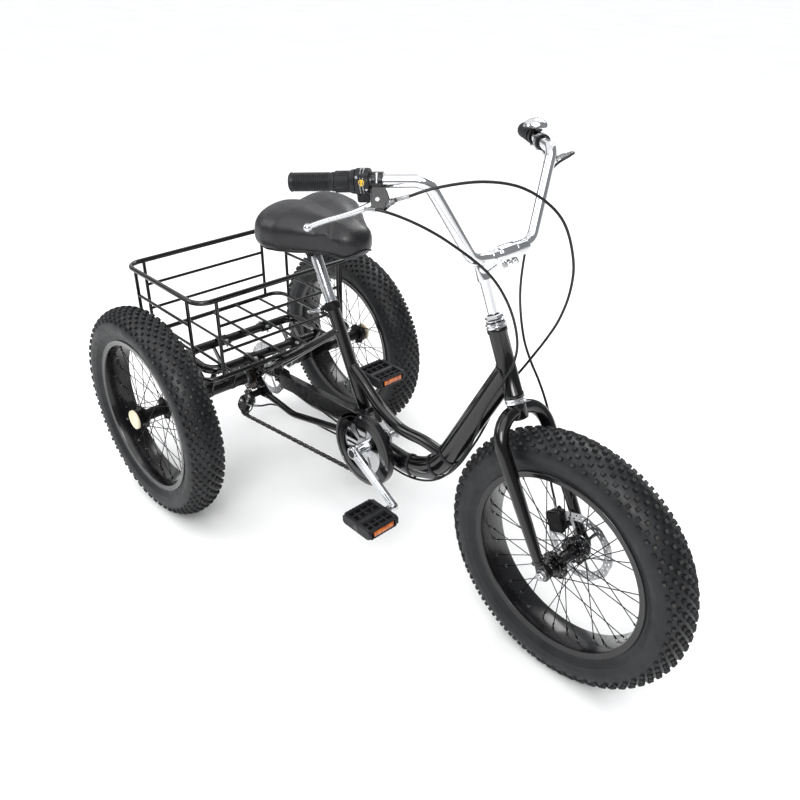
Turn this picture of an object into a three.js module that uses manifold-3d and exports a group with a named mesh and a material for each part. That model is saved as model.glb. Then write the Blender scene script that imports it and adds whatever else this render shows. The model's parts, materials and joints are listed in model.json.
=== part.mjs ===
// Adult tricycle with fat tyres: a step-through frame on one steered front wheel, and a rear
// carriage with a live axle, two wheels and a cargo basket.
// Millimetres. X points forward, Y to the rider's left, Z up, and the ground is at Z = 0.
// Pieces are laid out from the rear axle (X = 0) and the whole is moved back by half a wheelbase.
import * as THREE from 'three';
import { mergeVertices } from 'three/addons/utils/BufferGeometryUtils.js';
import Module from 'manifold-3d';

const wasm = await Module();
wasm.setup();

// ---- Driving dimensions ----
const GAP = 0.3; // between pieces that touch
const FACETS = 24; // round a wheel, one facet square to the ground
const FINE = 12; // round a small turned piece

const WHEELBASE = 1086;
const REAR_TRACK = 680;
const TYRE_RADIUS = 290;
const TYRE_WIDTH = 98;
const CASING = 5;
const RIM_RADIUS = 210;
const RIM_WIDTH = 74;
const RIM_DEPTH = 14;
const RIM_WALL = 2.5;
const SPOKES = 36;
const SPOKE_RADIUS = 1.2;
const SPOKE_CROSSING = 60; // degrees between a spoke's two ends
const FLANGE_RADIUS = 31;
const ROTOR_RADIUS = 80;
const ROTOR_THICKNESS = 2;

const FRONT_AXLE_RADIUS = 5;
const FRONT_HUB_HALF = 54;
const DROPOUT_INNER = 67.8; // half the space between the fork ends
const DROPOUT_THICKNESS = 6;

const AXLE_RADIUS = 8.5;
const HOUSING_RADIUS = 17.5;
const HOUSING_BORE = 13;
const HUB_HALF = 50; // rear hub, from the wheel's middle plane to its inner end
const HUB_CAP_RADIUS = 24;
const HUB_CAP_OUT = 60;

const HEAD_ANGLE = 65.8;
const HEAD_LENGTH = 144;
const HEAD_RADIUS = 19;
const STEERER_RADIUS = 13.5;
const RAKE = 24;
const CROWN_CLEARANCE = 23; // tyre top to the underside of the fork arch
const CROWN_DROP = 28; // head tube bottom to the middle of the fork arch
const LEG_RADIUS = 15;
const LEG_SPREAD = 72;

const BB_FORWARD = 504;
const BB_RISE = 2; // crank axle above the rear axle
const BB_SHELL_RADIUS = 21;
const BB_SHELL_HALF = 30;
const SPINDLE_RADIUS = 8.5;
const CRANK_LENGTH = 165;
const CRANK_ANGLE = 30.2; // right crank points forward and this far below level
const CRANK_INNER = 66;
const CRANK_OUTER = 78;
const PEDAL_AXLE_RADIUS = 5;
const PEDAL_CENTRE = 146;
const PEDAL_WIDTH = 92;
const PEDAL_LENGTH = 98;
const PEDAL_HEIGHT = 26;

const CHAIN_LINE = -38;
const CHAIN_WIDTH = 8;
const CHAIN_HALF_HEIGHT = 4;
const CHAIN_PITCH = 12.7;
const CHAINRING_TEETH = 44;
const COG_TEETH = 20;
const PULLEY_TEETH = 11;
const GUIDE_PULLEY = [-12, -78]; // from the rear axle
const TENSION_PULLEY = [-44, -130];
const PULLEY_PIN = 4;

const SEAT_ANGLE = 63.6;
const SEAT_TUBE_LENGTH = 368;
const SEAT_TUBE_RADIUS = 16;
const POST_RADIUS = 13.6;
const POST_SHOWING = 128;
const POST_INSIDE = 160;
const POST_TRAVEL = 90;

const MAIN_TUBE_HALF_WIDTH = 20;
const MAIN_TUBE_HALF_HEIGHT = 27;
const THIN_TUBE_RADIUS = 14;
const STAY_RADIUS = 9;

const CARRIAGE_TUBE_RADIUS = 12.5;
const CARRIAGE_HALF_WIDTH = 190;
const CARRIAGE_FRONT = 58;
const CARRIAGE_REAR = -86;
const CARRIAGE_RISE = 88; // carriage loop above the axle

const BASKET_FRONT = 130;
const BASKET_REAR = -235;
const BASKET_HALF_WIDTH = 245;
const BASKET_HEIGHT = 214;
const BASKET_CORNER = 40;
const RIM_TUBE = 6.5;
const UPRIGHT_WIRE = 5;
const SIDE_WIRE = 4;

const BAR_RADIUS = 11.1;
const GRIP_RADIUS = 16;
const GRIP_LENGTH = 74;
const LEVER_SWING = 56; // degrees the lever plane hangs below level

// ---- Derived places ----
const AXLE_HEIGHT = TYRE_RADIUS;
const FORK_LENGTH = Math.sqrt((TYRE_RADIUS + CROWN_CLEARANCE) ** 2 - RAKE ** 2)
  + LEG_RADIUS + CROWN_DROP;
const BB = [BB_FORWARD, AXLE_HEIGHT + BB_RISE];
const CHAINRING_RADIUS = CHAIN_PITCH * CHAINRING_TEETH / (2 * Math.PI);
const COG_RADIUS = CHAIN_PITCH * COG_TEETH / (2 * Math.PI);
const PULLEY_RADIUS = CHAIN_PITCH * PULLEY_TEETH / (2 * Math.PI);
const GUIDE = [GUIDE_PULLEY[0], AXLE_HEIGHT + GUIDE_PULLEY[1]];
const TENSION = [TENSION_PULLEY[0], AXLE_HEIGHT + TENSION_PULLEY[1]];
const CHAIN_ARC = 15; // degrees between the chain's corners where it bends
const insideChain = (radius) =>
  (radius - CHAIN_HALF_HEIGHT) * Math.cos(Math.PI * CHAIN_ARC / 360) - GAP;

// ---- Shape helpers ----
const at = (x, y, z) => new THREE.Vector3(x, y, z);
const radians = THREE.MathUtils.degToRad;

// A closed three.js geometry as a solid whose faces point out.
function solid(geometry) {
  geometry.deleteAttribute('normal');
  geometry.deleteAttribute('uv');
  const merged = mergeVertices(geometry, 1e-4);
  const points = merged.getAttribute('position').array;
  const corner = (index) => at(points[3 * index], points[3 * index + 1], points[3 * index + 2]);
  const kept = [];
  let volume = 0;
  for (let i = 0; i < merged.index.count; i += 3) {
    const [a, b, c] = merged.index.array.slice(i, i + 3);
    if (a === b || b === c || c === a) continue;
    kept.push(a, b, c);
    volume += corner(a).dot(corner(b).cross(corner(c)));
  }
  if (volume < 0) kept.reverse();
  return new wasm.Manifold(new wasm.Mesh({
    numProp: 3, vertProperties: new Float32Array(points), triVerts: new Uint32Array(kept),
  }));
}

function join(...bodies) {
  return bodies.flat().reduce((whole, body) => whole.add(body));
}

function cut(body, ...tools) {
  return tools.flat().reduce((whole, tool) => whole.subtract(tool), body);
}

// A body turned about the Y axis: the profile lists [radius, y] corners.
function turned(profile, sides = FINE) {
  const closed = [...profile, profile[0]].map(([r, y]) => new THREE.Vector2(r, y));
  return solid(new THREE.LatheGeometry(closed, sides, Math.PI / sides));
}

// The radius that makes a bore's or a tyre's facets, not its corners, lie at the given radius.
const roundOut = (radius, sides = FINE) => radius / Math.cos(Math.PI / sides);

// A tube or disc about the Y axis between two heights, with an optional bore.
function ring(outer, inner, low, high, sides = FINE) {
  const inside = inner > 0 ? roundOut(inner, sides) : 0;
  return turned([[inside, low], [outer, low], [outer, high], [inside, high]], sides);
}

// The same about the Z axis.
const upright = (body) => body.rotate([90, 0, 0]);

function rod(from, to, radius, sides = FINE) {
  const along = to.clone().sub(from);
  const geometry = new THREE.CylinderGeometry(radius, radius, along.length(), sides);
  geometry.applyQuaternion(
    new THREE.Quaternion().setFromUnitVectors(at(0, 1, 0), along.clone().normalize()));
  const middle = from.clone().add(to).multiplyScalar(0.5);
  return solid(geometry.translate(middle.x, middle.y, middle.z));
}

function box(low, high) {
  const size = high.map((value, axis) => value - low[axis]);
  const geometry = new THREE.BoxGeometry(...size);
  return solid(geometry.translate(...size.map((value, axis) => low[axis] + value / 2)));
}

// A path through corner points whose bends are arcs, with its steps only on the bends.
class BentPath extends THREE.Curve {
  constructor(corners, bendRadius, bendSteps = 4) {
    super();
    this.stations = [corners[0]];
    for (let i = 1; i < corners.length - 1; i += 1) {
      const [before, corner, after] = [corners[i - 1], corners[i], corners[i + 1]];
      const incoming = before.clone().sub(corner).normalize();
      const outgoing = after.clone().sub(corner).normalize();
      const half = incoming.angleTo(outgoing) / 2;
      const reach = bendRadius / Math.tan(half);
      const centre = incoming.clone().add(outgoing).normalize()
        .multiplyScalar(bendRadius / Math.sin(half)).add(corner);
      const first = incoming.multiplyScalar(reach).add(corner).sub(centre);
      const last = outgoing.multiplyScalar(reach).add(corner).sub(centre);
      const axis = first.clone().cross(last).normalize();
      const sweep = first.angleTo(last);
      for (let step = 0; step <= bendSteps; step += 1) {
        const turn = sweep * step / bendSteps;
        this.stations.push(first.clone().applyAxisAngle(axis, turn).add(centre));
      }
    }
    this.stations.push(corners[corners.length - 1]);
    this.steps = this.stations.length - 1;
  }

  getPointAt(u) {
    const place = Math.min(u * this.steps, this.steps - 1e-9);
    const index = Math.floor(place);
    return this.stations[index].clone().lerp(this.stations[index + 1], place - index);
  }

  getTangentAt(u) {
    const index = Math.round(u * this.steps);
    const before = this.stations[Math.max(index - 1, 0)];
    const after = this.stations[Math.min(index + 1, this.steps)];
    const here = this.stations[index];
    const incoming = index > 0 ? here.clone().sub(before).normalize() : at(0, 0, 0);
    const outgoing = index < this.steps ? after.clone().sub(here).normalize() : at(0, 0, 0);
    return incoming.add(outgoing).normalize();
  }
}

// An oval section carried along a path: the half width lies across a path that stays in a plane.
function swept(path, halfWidth, halfHeight = halfWidth, sides = 10, steps = path.steps) {
  const section = new THREE.Shape(Array.from({ length: sides }, (_, i) => {
    const turn = 2 * Math.PI * (i + 0.5) / sides;
    return new THREE.Vector2(halfWidth * Math.cos(turn), halfHeight * Math.sin(turn));
  }));
  return solid(new THREE.ExtrudeGeometry(section, { steps, extrudePath: path }));
}

const bent = (corners, bendRadius, tube, sides = 10, bendSteps = 4) =>
  swept(new BentPath(corners, bendRadius, bendSteps), tube, tube, sides);

const cable = (points, radius, steps) =>
  swept(new THREE.CatmullRomCurve3(points), radius, radius, 5, steps);

// A plate with its outline in the XZ plane, from one Y to another.
function slab(outline, low, high, hole = null) {
  const shape = new THREE.Shape(outline.map(([x, z]) => new THREE.Vector2(x, z)));
  if (hole) shape.holes.push(new THREE.Path(hole.map(([x, z]) => new THREE.Vector2(x, z))));
  const geometry = new THREE.ExtrudeGeometry(shape, { depth: high - low, bevelEnabled: false });
  return solid(geometry.rotateX(Math.PI / 2).translate(0, high, 0));
}

// The line of a belt round circles [x, z, radius, turn], pushed outwards by an offset.
// Turn is 1 where the belt runs anticlockwise and -1 where it runs clockwise.
function belt(circles, offset = 0, arcStep = 30) {
  const count = circles.length;
  const headings = circles.map(([x, z, r, turn = 1], i) => {
    const [nextX, nextZ, nextR, nextTurn = 1] = circles[(i + 1) % count];
    const span = Math.hypot(nextX - x, nextZ - z);
    return Math.atan2(nextZ - z, nextX - x) + Math.asin((turn * r - nextTurn * nextR) / span);
  });
  return circles.flatMap(([x, z, r, turn = 1], i) => {
    const arriving = headings[(i + count - 1) % count];
    const full = 2 * Math.PI;
    const sweep = (((headings[i] - arriving) * turn) % full + full) % full;
    const steps = Math.max(1, Math.ceil(sweep / radians(arcStep)));
    return Array.from({ length: steps + 1 }, (_, step) => {
      const heading = arriving + turn * sweep * step / steps;
      const reach = turn * r + offset;
      return [x + reach * Math.sin(heading), z - reach * Math.cos(heading)];
    });
  });
}

const strap = (circles, low, high) => slab(belt(circles, 0, 40), low, high);

// A rod from one side to the other through a place in the XZ plane.
const pin = (x, z, radius, low, high, sides = FINE) => ring(radius, 0, low, high, sides)
  .translate([x, 0, z]);
const bore = (x, z, radius, low, high, sides = FINE) =>
  pin(x, z, roundOut(radius, sides), low, high, sides);

const mirrored = (body) => body.mirror([0, 1, 0]);

// ---- Finishes ----
const FINISH = {
  blackPaint: [0x17171a, 0.22, 0.2],
  rubber: [0x2b2b2b, 0.85, 0],
  rim: [0x1c1c1e, 0.4, 0.6],
  steel: [0xb9bbbd, 0.35, 0.9],
  chrome: [0xd9dbde, 0.12, 1],
  alloy: [0xc4c6c8, 0.3, 0.9],
  darkSteel: [0x3c3c3e, 0.5, 0.8],
  plastic: [0x242427, 0.5, 0],
  glossPlastic: [0x151517, 0.2, 0],
  vinyl: [0x2f2f31, 0.55, 0],
  cable: [0x141414, 0.4, 0],
};

const tricycle = new THREE.Group();
tricycle.position.x = -WHEELBASE / 2;

function group(x, y, z, parent = tricycle) {
  const holder = new THREE.Group();
  holder.position.set(x, y, z);
  parent.add(holder);
  return holder;
}

function part(name, body, finish, parent = tricycle) {
  const surface = body.getMesh();
  const geometry = new THREE.BufferGeometry();
  geometry.setAttribute('position', new THREE.BufferAttribute(surface.vertProperties, 3));
  geometry.setIndex(new THREE.BufferAttribute(surface.triVerts, 1));
  geometry.computeVertexNormals();
  const [color, roughness, metalness] = FINISH[finish];
  const mesh = new THREE.Mesh(
    geometry, new THREE.MeshStandardMaterial({ color, roughness, metalness }));
  mesh.name = name;
  parent.add(mesh);
}

// ---- Wheels, each built round its own centre ----
const wheelRound = (radius) => roundOut(radius, FACETS);
const mirrorProfile = (half) => [...half.map(([r, y]) => [r, -y]).reverse(), ...half];

function tyreBody() {
  const side = TYRE_WIDTH / 2;
  const seat = RIM_WIDTH / 2 - RIM_WALL - GAP;
  const bead = RIM_RADIUS - RIM_DEPTH + RIM_WALL + GAP;
  const height = TYRE_RADIUS - RIM_RADIUS;
  const outer = [[bead, seat], [RIM_RADIUS + 1, seat], [RIM_RADIUS + 0.33 * height, side],
    [TYRE_RADIUS - 0.3 * height, side], [TYRE_RADIUS, side / 2]];
  const inner = [[TYRE_RADIUS - CASING, side / 2 - 2], [RIM_RADIUS + 0.5 * height, side - CASING],
    [bead, seat - CASING]];
  const profile = [...outer, ...outer.map(([r, y]) => [r, -y]).reverse(),
    ...inner.map(([r, y]) => [r, -y]).reverse(), ...inner];
  return turned(profile.map(([r, y]) => [wheelRound(r), y]), FACETS);
}

function rimBody() {
  const half = RIM_WIDTH / 2;
  const base = RIM_RADIUS - RIM_DEPTH;
  const side = [[base, half], [RIM_RADIUS, half], [RIM_RADIUS, half - RIM_WALL],
    [base + RIM_WALL, half - RIM_WALL]];
  const profile = [...side, ...side.map(([r, y]) => [r, -y]).reverse()];
  return turned(profile.map(([r, y]) => [wheelRound(r), y]), FACETS);
}

// All the spokes of a wheel, held by a ring of nipples in the rim and one round each flange.
function spokesBody(flanges) {
  const rimSide = RIM_RADIUS - RIM_DEPTH - GAP;
  const hoop = [[rimSide - 4.2, -7], [rimSide, -7], [rimSide, 7], [rimSide - 4.2, 7]];
  const bodies = [turned(hoop.map(([r, y]) => [wheelRound(r), y]), FACETS)];
  for (const y of flanges) {
    bodies.push(ring(FLANGE_RADIUS + 3.5, FLANGE_RADIUS + GAP, y - 3.6, y + 3.6));
  }
  for (let i = 0; i < SPOKES; i += 1) {
    const layer = i % 4 < 2 ? 1 : -1; // crossing spokes pass each other in two layers
    const start = radians(360 * i / SPOKES);
    const end = start + layer * radians(SPOKE_CROSSING);
    const flange = flanges[i % 2];
    const from = at(Math.sin(start), 0, Math.cos(start)).multiplyScalar(FLANGE_RADIUS + 2)
      .setY(flange + 2 * layer);
    const to = at(Math.sin(end), 0, Math.cos(end)).multiplyScalar(rimSide - 1)
      .setY(4 * Math.sign(flange) + 1.6 * layer);
    bodies.push(rod(from, to, SPOKE_RADIUS, 3));
  }
  return join(bodies);
}

function rotorBody(low, hubHole) {
  const windows = Array.from({ length: 6 }, (_, i) => {
    const middle = 60 * i;
    const wedge = [[26, middle - 19], [62, middle - 23], [62, middle + 23], [26, middle + 19]]
      .map(([r, degrees]) => [r * Math.sin(radians(degrees)), r * Math.cos(radians(degrees))]);
    return slab(wedge, low - 1, low + ROTOR_THICKNESS + 1);
  });
  return cut(ring(ROTOR_RADIUS, hubHole, low, low + ROTOR_THICKNESS, FACETS), windows);
}

const steering = group(
  WHEELBASE - RAKE * Math.sin(radians(HEAD_ANGLE)) - FORK_LENGTH * Math.cos(radians(HEAD_ANGLE)),
  0,
  AXLE_HEIGHT - RAKE * Math.cos(radians(HEAD_ANGLE)) + FORK_LENGTH * Math.sin(radians(HEAD_ANGLE)));
steering.rotation.y = radians(HEAD_ANGLE - 90);
const headBottom = steering.position.clone();
const onSteeringAxis = (distance) => at(
  headBottom.x - distance * Math.cos(radians(HEAD_ANGLE)), 0,
  headBottom.z + distance * Math.sin(radians(HEAD_ANGLE)));

const frontWheel = group(WHEELBASE, 0, AXLE_HEIGHT);
const frontHub = turned([
  [roundOut(FRONT_AXLE_RADIUS + GAP), -FRONT_HUB_HALF], [13, -FRONT_HUB_HALF], [13, -33],
  [FLANGE_RADIUS, -33], [FLANGE_RADIUS, -29], [16, -29], [16, 32], [FLANGE_RADIUS, 32],
  [FLANGE_RADIUS, 36], [22, 36], [22, FRONT_HUB_HALF],
  [roundOut(FRONT_AXLE_RADIUS + GAP), FRONT_HUB_HALF]]);
part('front_tyre', tyreBody(), 'rubber', frontWheel);
part('front_rim', rimBody(), 'rim', frontWheel);
part('front_spokes', spokesBody([-31, 34]), 'darkSteel', frontWheel);
part('front_hub', frontHub, 'plastic', frontWheel);
part('front_rotor', rotorBody(FRONT_HUB_HALF + GAP, 12), 'steel', frontWheel);

// The rear hub's profile runs outwards from the wheel's middle plane and ends in a closed cap.
function rearHubBody() {
  const inside = roundOut(AXLE_RADIUS + GAP);
  return turned([
    [inside, -HUB_HALF], [14, -HUB_HALF], [14, -34], [FLANGE_RADIUS, -34], [FLANGE_RADIUS, -29],
    [17, -29], [17, 29], [FLANGE_RADIUS, 29], [FLANGE_RADIUS, 34], [17, 34],
    [17, HUB_CAP_OUT - 8], [HUB_CAP_RADIUS, HUB_CAP_OUT - 8], [HUB_CAP_RADIUS, HUB_CAP_OUT],
    [0, HUB_CAP_OUT], [0, HUB_CAP_OUT - 6], [inside, HUB_CAP_OUT - 6]]);
}

for (const [side, name] of [[-1, 'right_rear'], [1, 'left_rear']]) {
  const holder = group(0, side * REAR_TRACK / 2, AXLE_HEIGHT);
  const hub = side > 0 ? rearHubBody() : mirrored(rearHubBody());
  part(`${name}_tyre`, tyreBody(), 'rubber', holder);
  part(`${name}_rim`, rimBody(), 'rim', holder);
  part(`${name}_spokes`, spokesBody([-31.5, 31.5]), 'darkSteel', holder);
  part(`${name}_hub`, hub, 'plastic', holder);
}

// ---- Rear axle and what turns on it ----
const rearAxle = group(0, 0, AXLE_HEIGHT);
const AXLE_END = REAR_TRACK / 2 + HUB_CAP_OUT - 6 - GAP;
const FREEWHEEL_SEAT = 16;
const ROTOR_FLANGE = 27;
part('rear_axle', turned([
  [0, -AXLE_END], [AXLE_RADIUS, -AXLE_END], [AXLE_RADIUS, CHAIN_LINE - 11],
  [FREEWHEEL_SEAT, CHAIN_LINE - 11], [FREEWHEEL_SEAT, CHAIN_LINE + 7],
  [AXLE_RADIUS, CHAIN_LINE + 7], [AXLE_RADIUS, ROTOR_FLANGE - 5], [22, ROTOR_FLANGE - 5],
  [22, ROTOR_FLANGE], [AXLE_RADIUS, ROTOR_FLANGE], [AXLE_RADIUS, AXLE_END], [0, AXLE_END]]),
'steel', rearAxle);
part('freewheel', join(
  ring(24, FREEWHEEL_SEAT + GAP, CHAIN_LINE - 9, CHAIN_LINE + 7, FINE),
  ring(insideChain(COG_RADIUS), FREEWHEEL_SEAT + GAP, CHAIN_LINE - 2, CHAIN_LINE + 2, 20)),
'steel', rearAxle);
part('rear_rotor', rotorBody(ROTOR_FLANGE + GAP, AXLE_RADIUS + GAP), 'steel', rearAxle);

// ---- Rear carriage: a flat loop under the basket, and the axle housing below it ----
const HOUSING_OUTER_END = REAR_TRACK / 2 - HUB_HALF - 4;
const HOUSING_INNER = { right: 58, left: 100 };
const loopHeight = AXLE_HEIGHT + CARRIAGE_RISE;

// A closed loop of tube in a level plane, a rounded rectangle seen from above.
function loopBody(front, rear, halfWidth, height, bendRadius, tube, sides, bendSteps) {
  const corners = [[front - bendRadius, 1], [rear + bendRadius, 1], [rear + bendRadius, -1],
    [front - bendRadius, -1]];
  const ends = corners.length * (bendSteps + 1);
  const points = corners.flatMap(([x, side], quarter) =>
    Array.from({ length: bendSteps + 1 }, (_, step) => {
      const turn = Math.PI / 2 * (quarter + step / bendSteps);
      return Array.from({ length: sides }, (_unused, edge) => {
        const round = 2 * Math.PI * (edge + 0.5) / sides;
        const reach = bendRadius + tube * Math.cos(round);
        return [x + reach * Math.cos(turn), side * (halfWidth - bendRadius)
          + reach * Math.sin(turn), height + tube * Math.sin(round)];
      });
    }).flat());
  const faces = Array.from({ length: ends * sides }, (_, index) => {
    const next = index - index % sides + (index + 1) % sides;
    const [a, b, c, d] = [index, next, next + sides, index + sides]
      .map((place) => place % (ends * sides));
    return [a, b, c, a, c, d];
  });
  const geometry = new THREE.BufferGeometry();
  geometry.setAttribute('position', new THREE.Float32BufferAttribute(points.flat(), 3));
  geometry.setIndex(faces.flat());
  return solid(geometry);
}

const axleHousing = (side) => {
  const inner = side < 0 ? HOUSING_INNER.right : HOUSING_INNER.left;
  return [Math.min(side * inner, side * HOUSING_OUTER_END),
    Math.max(side * inner, side * HOUSING_OUTER_END)];
};
const uprightPlate = (y) => slab([
  [CARRIAGE_REAR, loopHeight], [-16, AXLE_HEIGHT], [16, AXLE_HEIGHT],
  [CARRIAGE_FRONT, loopHeight], [CARRIAGE_FRONT - 16, loopHeight], [6, AXLE_HEIGHT + 30],
  [-12, AXLE_HEIGHT + 30], [CARRIAGE_REAR + 16, loopHeight]], y - 2.5, y + 2.5);
const housings = [-1, 1].map((side) => pin(0, AXLE_HEIGHT, HOUSING_RADIUS, ...axleHousing(side)));
part('rear_carriage', cut(
  join(
    loopBody(CARRIAGE_FRONT, CARRIAGE_REAR, CARRIAGE_HALF_WIDTH, loopHeight, 45,
      CARRIAGE_TUBE_RADIUS, 8, 4),
    housings, [-172, -100, 130, 172].map(uprightPlate)),
  bore(0, AXLE_HEIGHT, HOUSING_BORE, -HOUSING_OUTER_END - 1, HOUSING_OUTER_END + 1)),
'blackPaint');

function axleBearing(side, inner) {
  const flange = side * (inner - GAP);
  const body = join(
    ring(HOUSING_BORE - GAP, AXLE_RADIUS + GAP, 0, 18),
    ring(HOUSING_RADIUS + 5, AXLE_RADIUS + GAP, -4, 0));
  return (side > 0 ? body : mirrored(body)).translate([0, flange, AXLE_HEIGHT]);
}
part('right_axle_bearing', axleBearing(-1, HOUSING_INNER.right), 'steel');
part('left_axle_bearing', axleBearing(1, HOUSING_INNER.left), 'steel');

// ---- Basket ----
const basketFloor = loopHeight + CARRIAGE_TUBE_RADIUS + GAP + RIM_TUBE;
const basketRim = basketFloor + BASKET_HEIGHT;
function basketBody() {
  const shape = [BASKET_FRONT, BASKET_REAR, BASKET_HALF_WIDTH];
  const loops = [
    loopBody(...shape, basketFloor, BASKET_CORNER, RIM_TUBE, 6, 2),
    loopBody(...shape, basketRim, BASKET_CORNER, RIM_TUBE, 6, 2),
    ...[1, 2].map((level) => loopBody(...shape, basketFloor + BASKET_HEIGHT * level / 3,
      BASKET_CORNER, SIDE_WIRE, 4, 1))];
  const inset = BASKET_CORNER + 12;
  const uprights = [BASKET_FRONT, BASKET_REAR].flatMap((x) =>
    [-1, 1].map((side) => [x, side * (BASKET_HALF_WIDTH - inset)]));
  uprights.push(...[BASKET_FRONT - inset, BASKET_REAR + inset].flatMap((x) =>
    [-1, 1].map((side) => [x, side * BASKET_HALF_WIDTH])));
  const posts = uprights.map(([x, y]) =>
    rod(at(x, y, basketFloor), at(x, y, basketRim), UPRIGHT_WIRE, 4));
  const floorWires = [-2, -1, 0, 1, 2].map((index) => {
    const y = index * BASKET_HALF_WIDTH / 3;
    return rod(at(BASKET_REAR, y, basketFloor), at(BASKET_FRONT, y, basketFloor), SIDE_WIRE, 4);
  });
  return join(loops, posts, floorWires);
}
part('basket', basketBody(), 'blackPaint');

// ---- Main frame ----
const steerOrigin = onSteeringAxis(0);
const headTop = onSteeringAxis(HEAD_LENGTH);
const seatAxis = (distance) => at(
  BB[0] - distance * Math.cos(radians(SEAT_ANGLE)), 0,
  BB[1] + distance * Math.sin(radians(SEAT_ANGLE)));
const seatTop = seatAxis(SEAT_TUBE_LENGTH);
const mainTubeStart = onSteeringAxis(0.37 * HEAD_LENGTH);
const mainTubeLow = at(BB[0] + 196, 0, BB[1] - 9);
const mainTubePath = new BentPath([mainTubeStart, mainTubeLow, at(BB[0], 0, BB[1] - 5)], 175, 7);
const onMainTube = mainTubePath.getPointAt(1.35 / mainTubePath.steps);
const stayTop = seatAxis(296);
const DROPOUT_RIGHT = -21;
const DROPOUT_LEFT = 53;
const PLATE_HALF = 3;

const mainFrameTubes = [
  rod(steerOrigin, headTop, HEAD_RADIUS),
  swept(mainTubePath, MAIN_TUBE_HALF_WIDTH, MAIN_TUBE_HALF_HEIGHT, 10),
  rod(seatAxis(0), seatTop, SEAT_TUBE_RADIUS),
  pin(...BB, BB_SHELL_RADIUS, -BB_SHELL_HALF, BB_SHELL_HALF),
  swept(new THREE.CatmullRomCurve3([
    onMainTube, at(BB[0] + 171, 0, BB[1] + 85), at(BB[0] + 86, 0, BB[1] + 82),
    at(BB[0] + 15, 0, BB[1] + 109), at(BB[0] - 51, 0, BB[1] + 157), seatAxis(205)]),
  THIN_TUBE_RADIUS, THIN_TUBE_RADIUS, 6, 9),
];
const chainstayPath = (side, y) => [
  at(60, y, AXLE_HEIGHT - 44), at(180, y, AXLE_HEIGHT - 56), at(400, side * 20, BB[1] - 6),
  at(BB[0] - 10, side * 20, BB[1])];
const stays = [[-1, DROPOUT_RIGHT], [1, DROPOUT_LEFT]].flatMap(([side, y]) => [
  bent(chainstayPath(side, y), 120, STAY_RADIUS, 6, 2),
  rod(at(14, y, AXLE_HEIGHT + 2), stayTop.clone().setY(side * 10), STAY_RADIUS, 6),
  strap([[0, AXLE_HEIGHT, 22], [32, AXLE_HEIGHT - 46, 14], [68, AXLE_HEIGHT - 44, 11]],
    y - PLATE_HALF, y + PLATE_HALF),
  strap([[0, AXLE_HEIGHT, 20], [CARRIAGE_FRONT - 8, loopHeight - CARRIAGE_TUBE_RADIUS - 12, 11]],
    y - PLATE_HALF, y + PLATE_HALF),
]);
const GUARD_INNER = -31;
const guardBracket = box([BB[0] - 6, GUARD_INNER + GAP, BB[1] + BB_SHELL_RADIUS + 1],
  [BB[0] + 6, -12, BB[1] + 106]);
part('main_frame', cut(
  join(mainFrameTubes, stays, guardBracket),
  rod(onSteeringAxis(-5), onSteeringAxis(HEAD_LENGTH + 5), roundOut(STEERER_RADIUS + 1)),
  rod(seatAxis(SEAT_TUBE_LENGTH - POST_INSIDE - POST_TRAVEL - 8), seatAxis(SEAT_TUBE_LENGTH + 5),
    roundOut(POST_RADIUS + GAP)),
  bore(...BB, SPINDLE_RADIUS + 7 + GAP, -60, 60),
  bore(0, AXLE_HEIGHT, AXLE_RADIUS + 1.5, -80, 80)),
'blackPaint');

// ---- Bottom bracket, cranks, chainring and pedals ----
part('bottom_bracket', join(
  ring(SPINDLE_RADIUS + 7, SPINDLE_RADIUS + GAP, -BB_SHELL_HALF - 1, BB_SHELL_HALF + 1),
  [-1, 1].map((side) => ring(BB_SHELL_RADIUS, SPINDLE_RADIUS + GAP, 0, 3)
    .translate([0, side > 0 ? BB_SHELL_HALF + GAP : -BB_SHELL_HALF - GAP - 3, 0])))
  .translate([BB[0], 0, BB[1]]),
'steel');

const crankSet = group(BB[0], 0, BB[1]);
crankSet.rotation.y = radians(CRANK_ANGLE);
part('crank_spindle', ring(SPINDLE_RADIUS, 0, -CRANK_OUTER - 1, CRANK_OUTER + 1), 'steel', crankSet);

function crankArm() {
  return cut(
    join(
      strap([[0, 0, 17], [CRANK_LENGTH, 0, 12]], -CRANK_OUTER, -CRANK_INNER),
      pin(CRANK_LENGTH, 0, PEDAL_AXLE_RADIUS, -PEDAL_CENTRE - PEDAL_WIDTH / 2 + 6,
        -CRANK_INNER - 1)),
    bore(0, 0, SPINDLE_RADIUS + GAP, -CRANK_OUTER - 1, -CRANK_INNER + 1));
}
part('right_crank_arm', crankArm(), 'alloy', crankSet);
part('left_crank_arm', crankArm().rotate([0, 0, 180]), 'alloy', crankSet);

const SPIDER_ARMS = 5;
const chainringWindows = Array.from({ length: SPIDER_ARMS }, (_, i) => {
  const middle = 360 * i / SPIDER_ARMS;
  const corners = [[24, middle - 16], [64, middle - 29], [66, middle], [64, middle + 29],
    [24, middle + 16]];
  return slab(corners.map(([r, degrees]) => [r * Math.sin(radians(degrees)),
    r * Math.cos(radians(degrees))]), CHAIN_LINE - 5, CHAIN_LINE + 5);
});
part('chainring', join(
  cut(ring(insideChain(CHAINRING_RADIUS), SPINDLE_RADIUS + GAP, CHAIN_LINE - 2, CHAIN_LINE + 2,
    30), chainringWindows),
  ring(16, SPINDLE_RADIUS + GAP, -CRANK_INNER + GAP, CHAIN_LINE)),
'alloy', crankSet);

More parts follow.
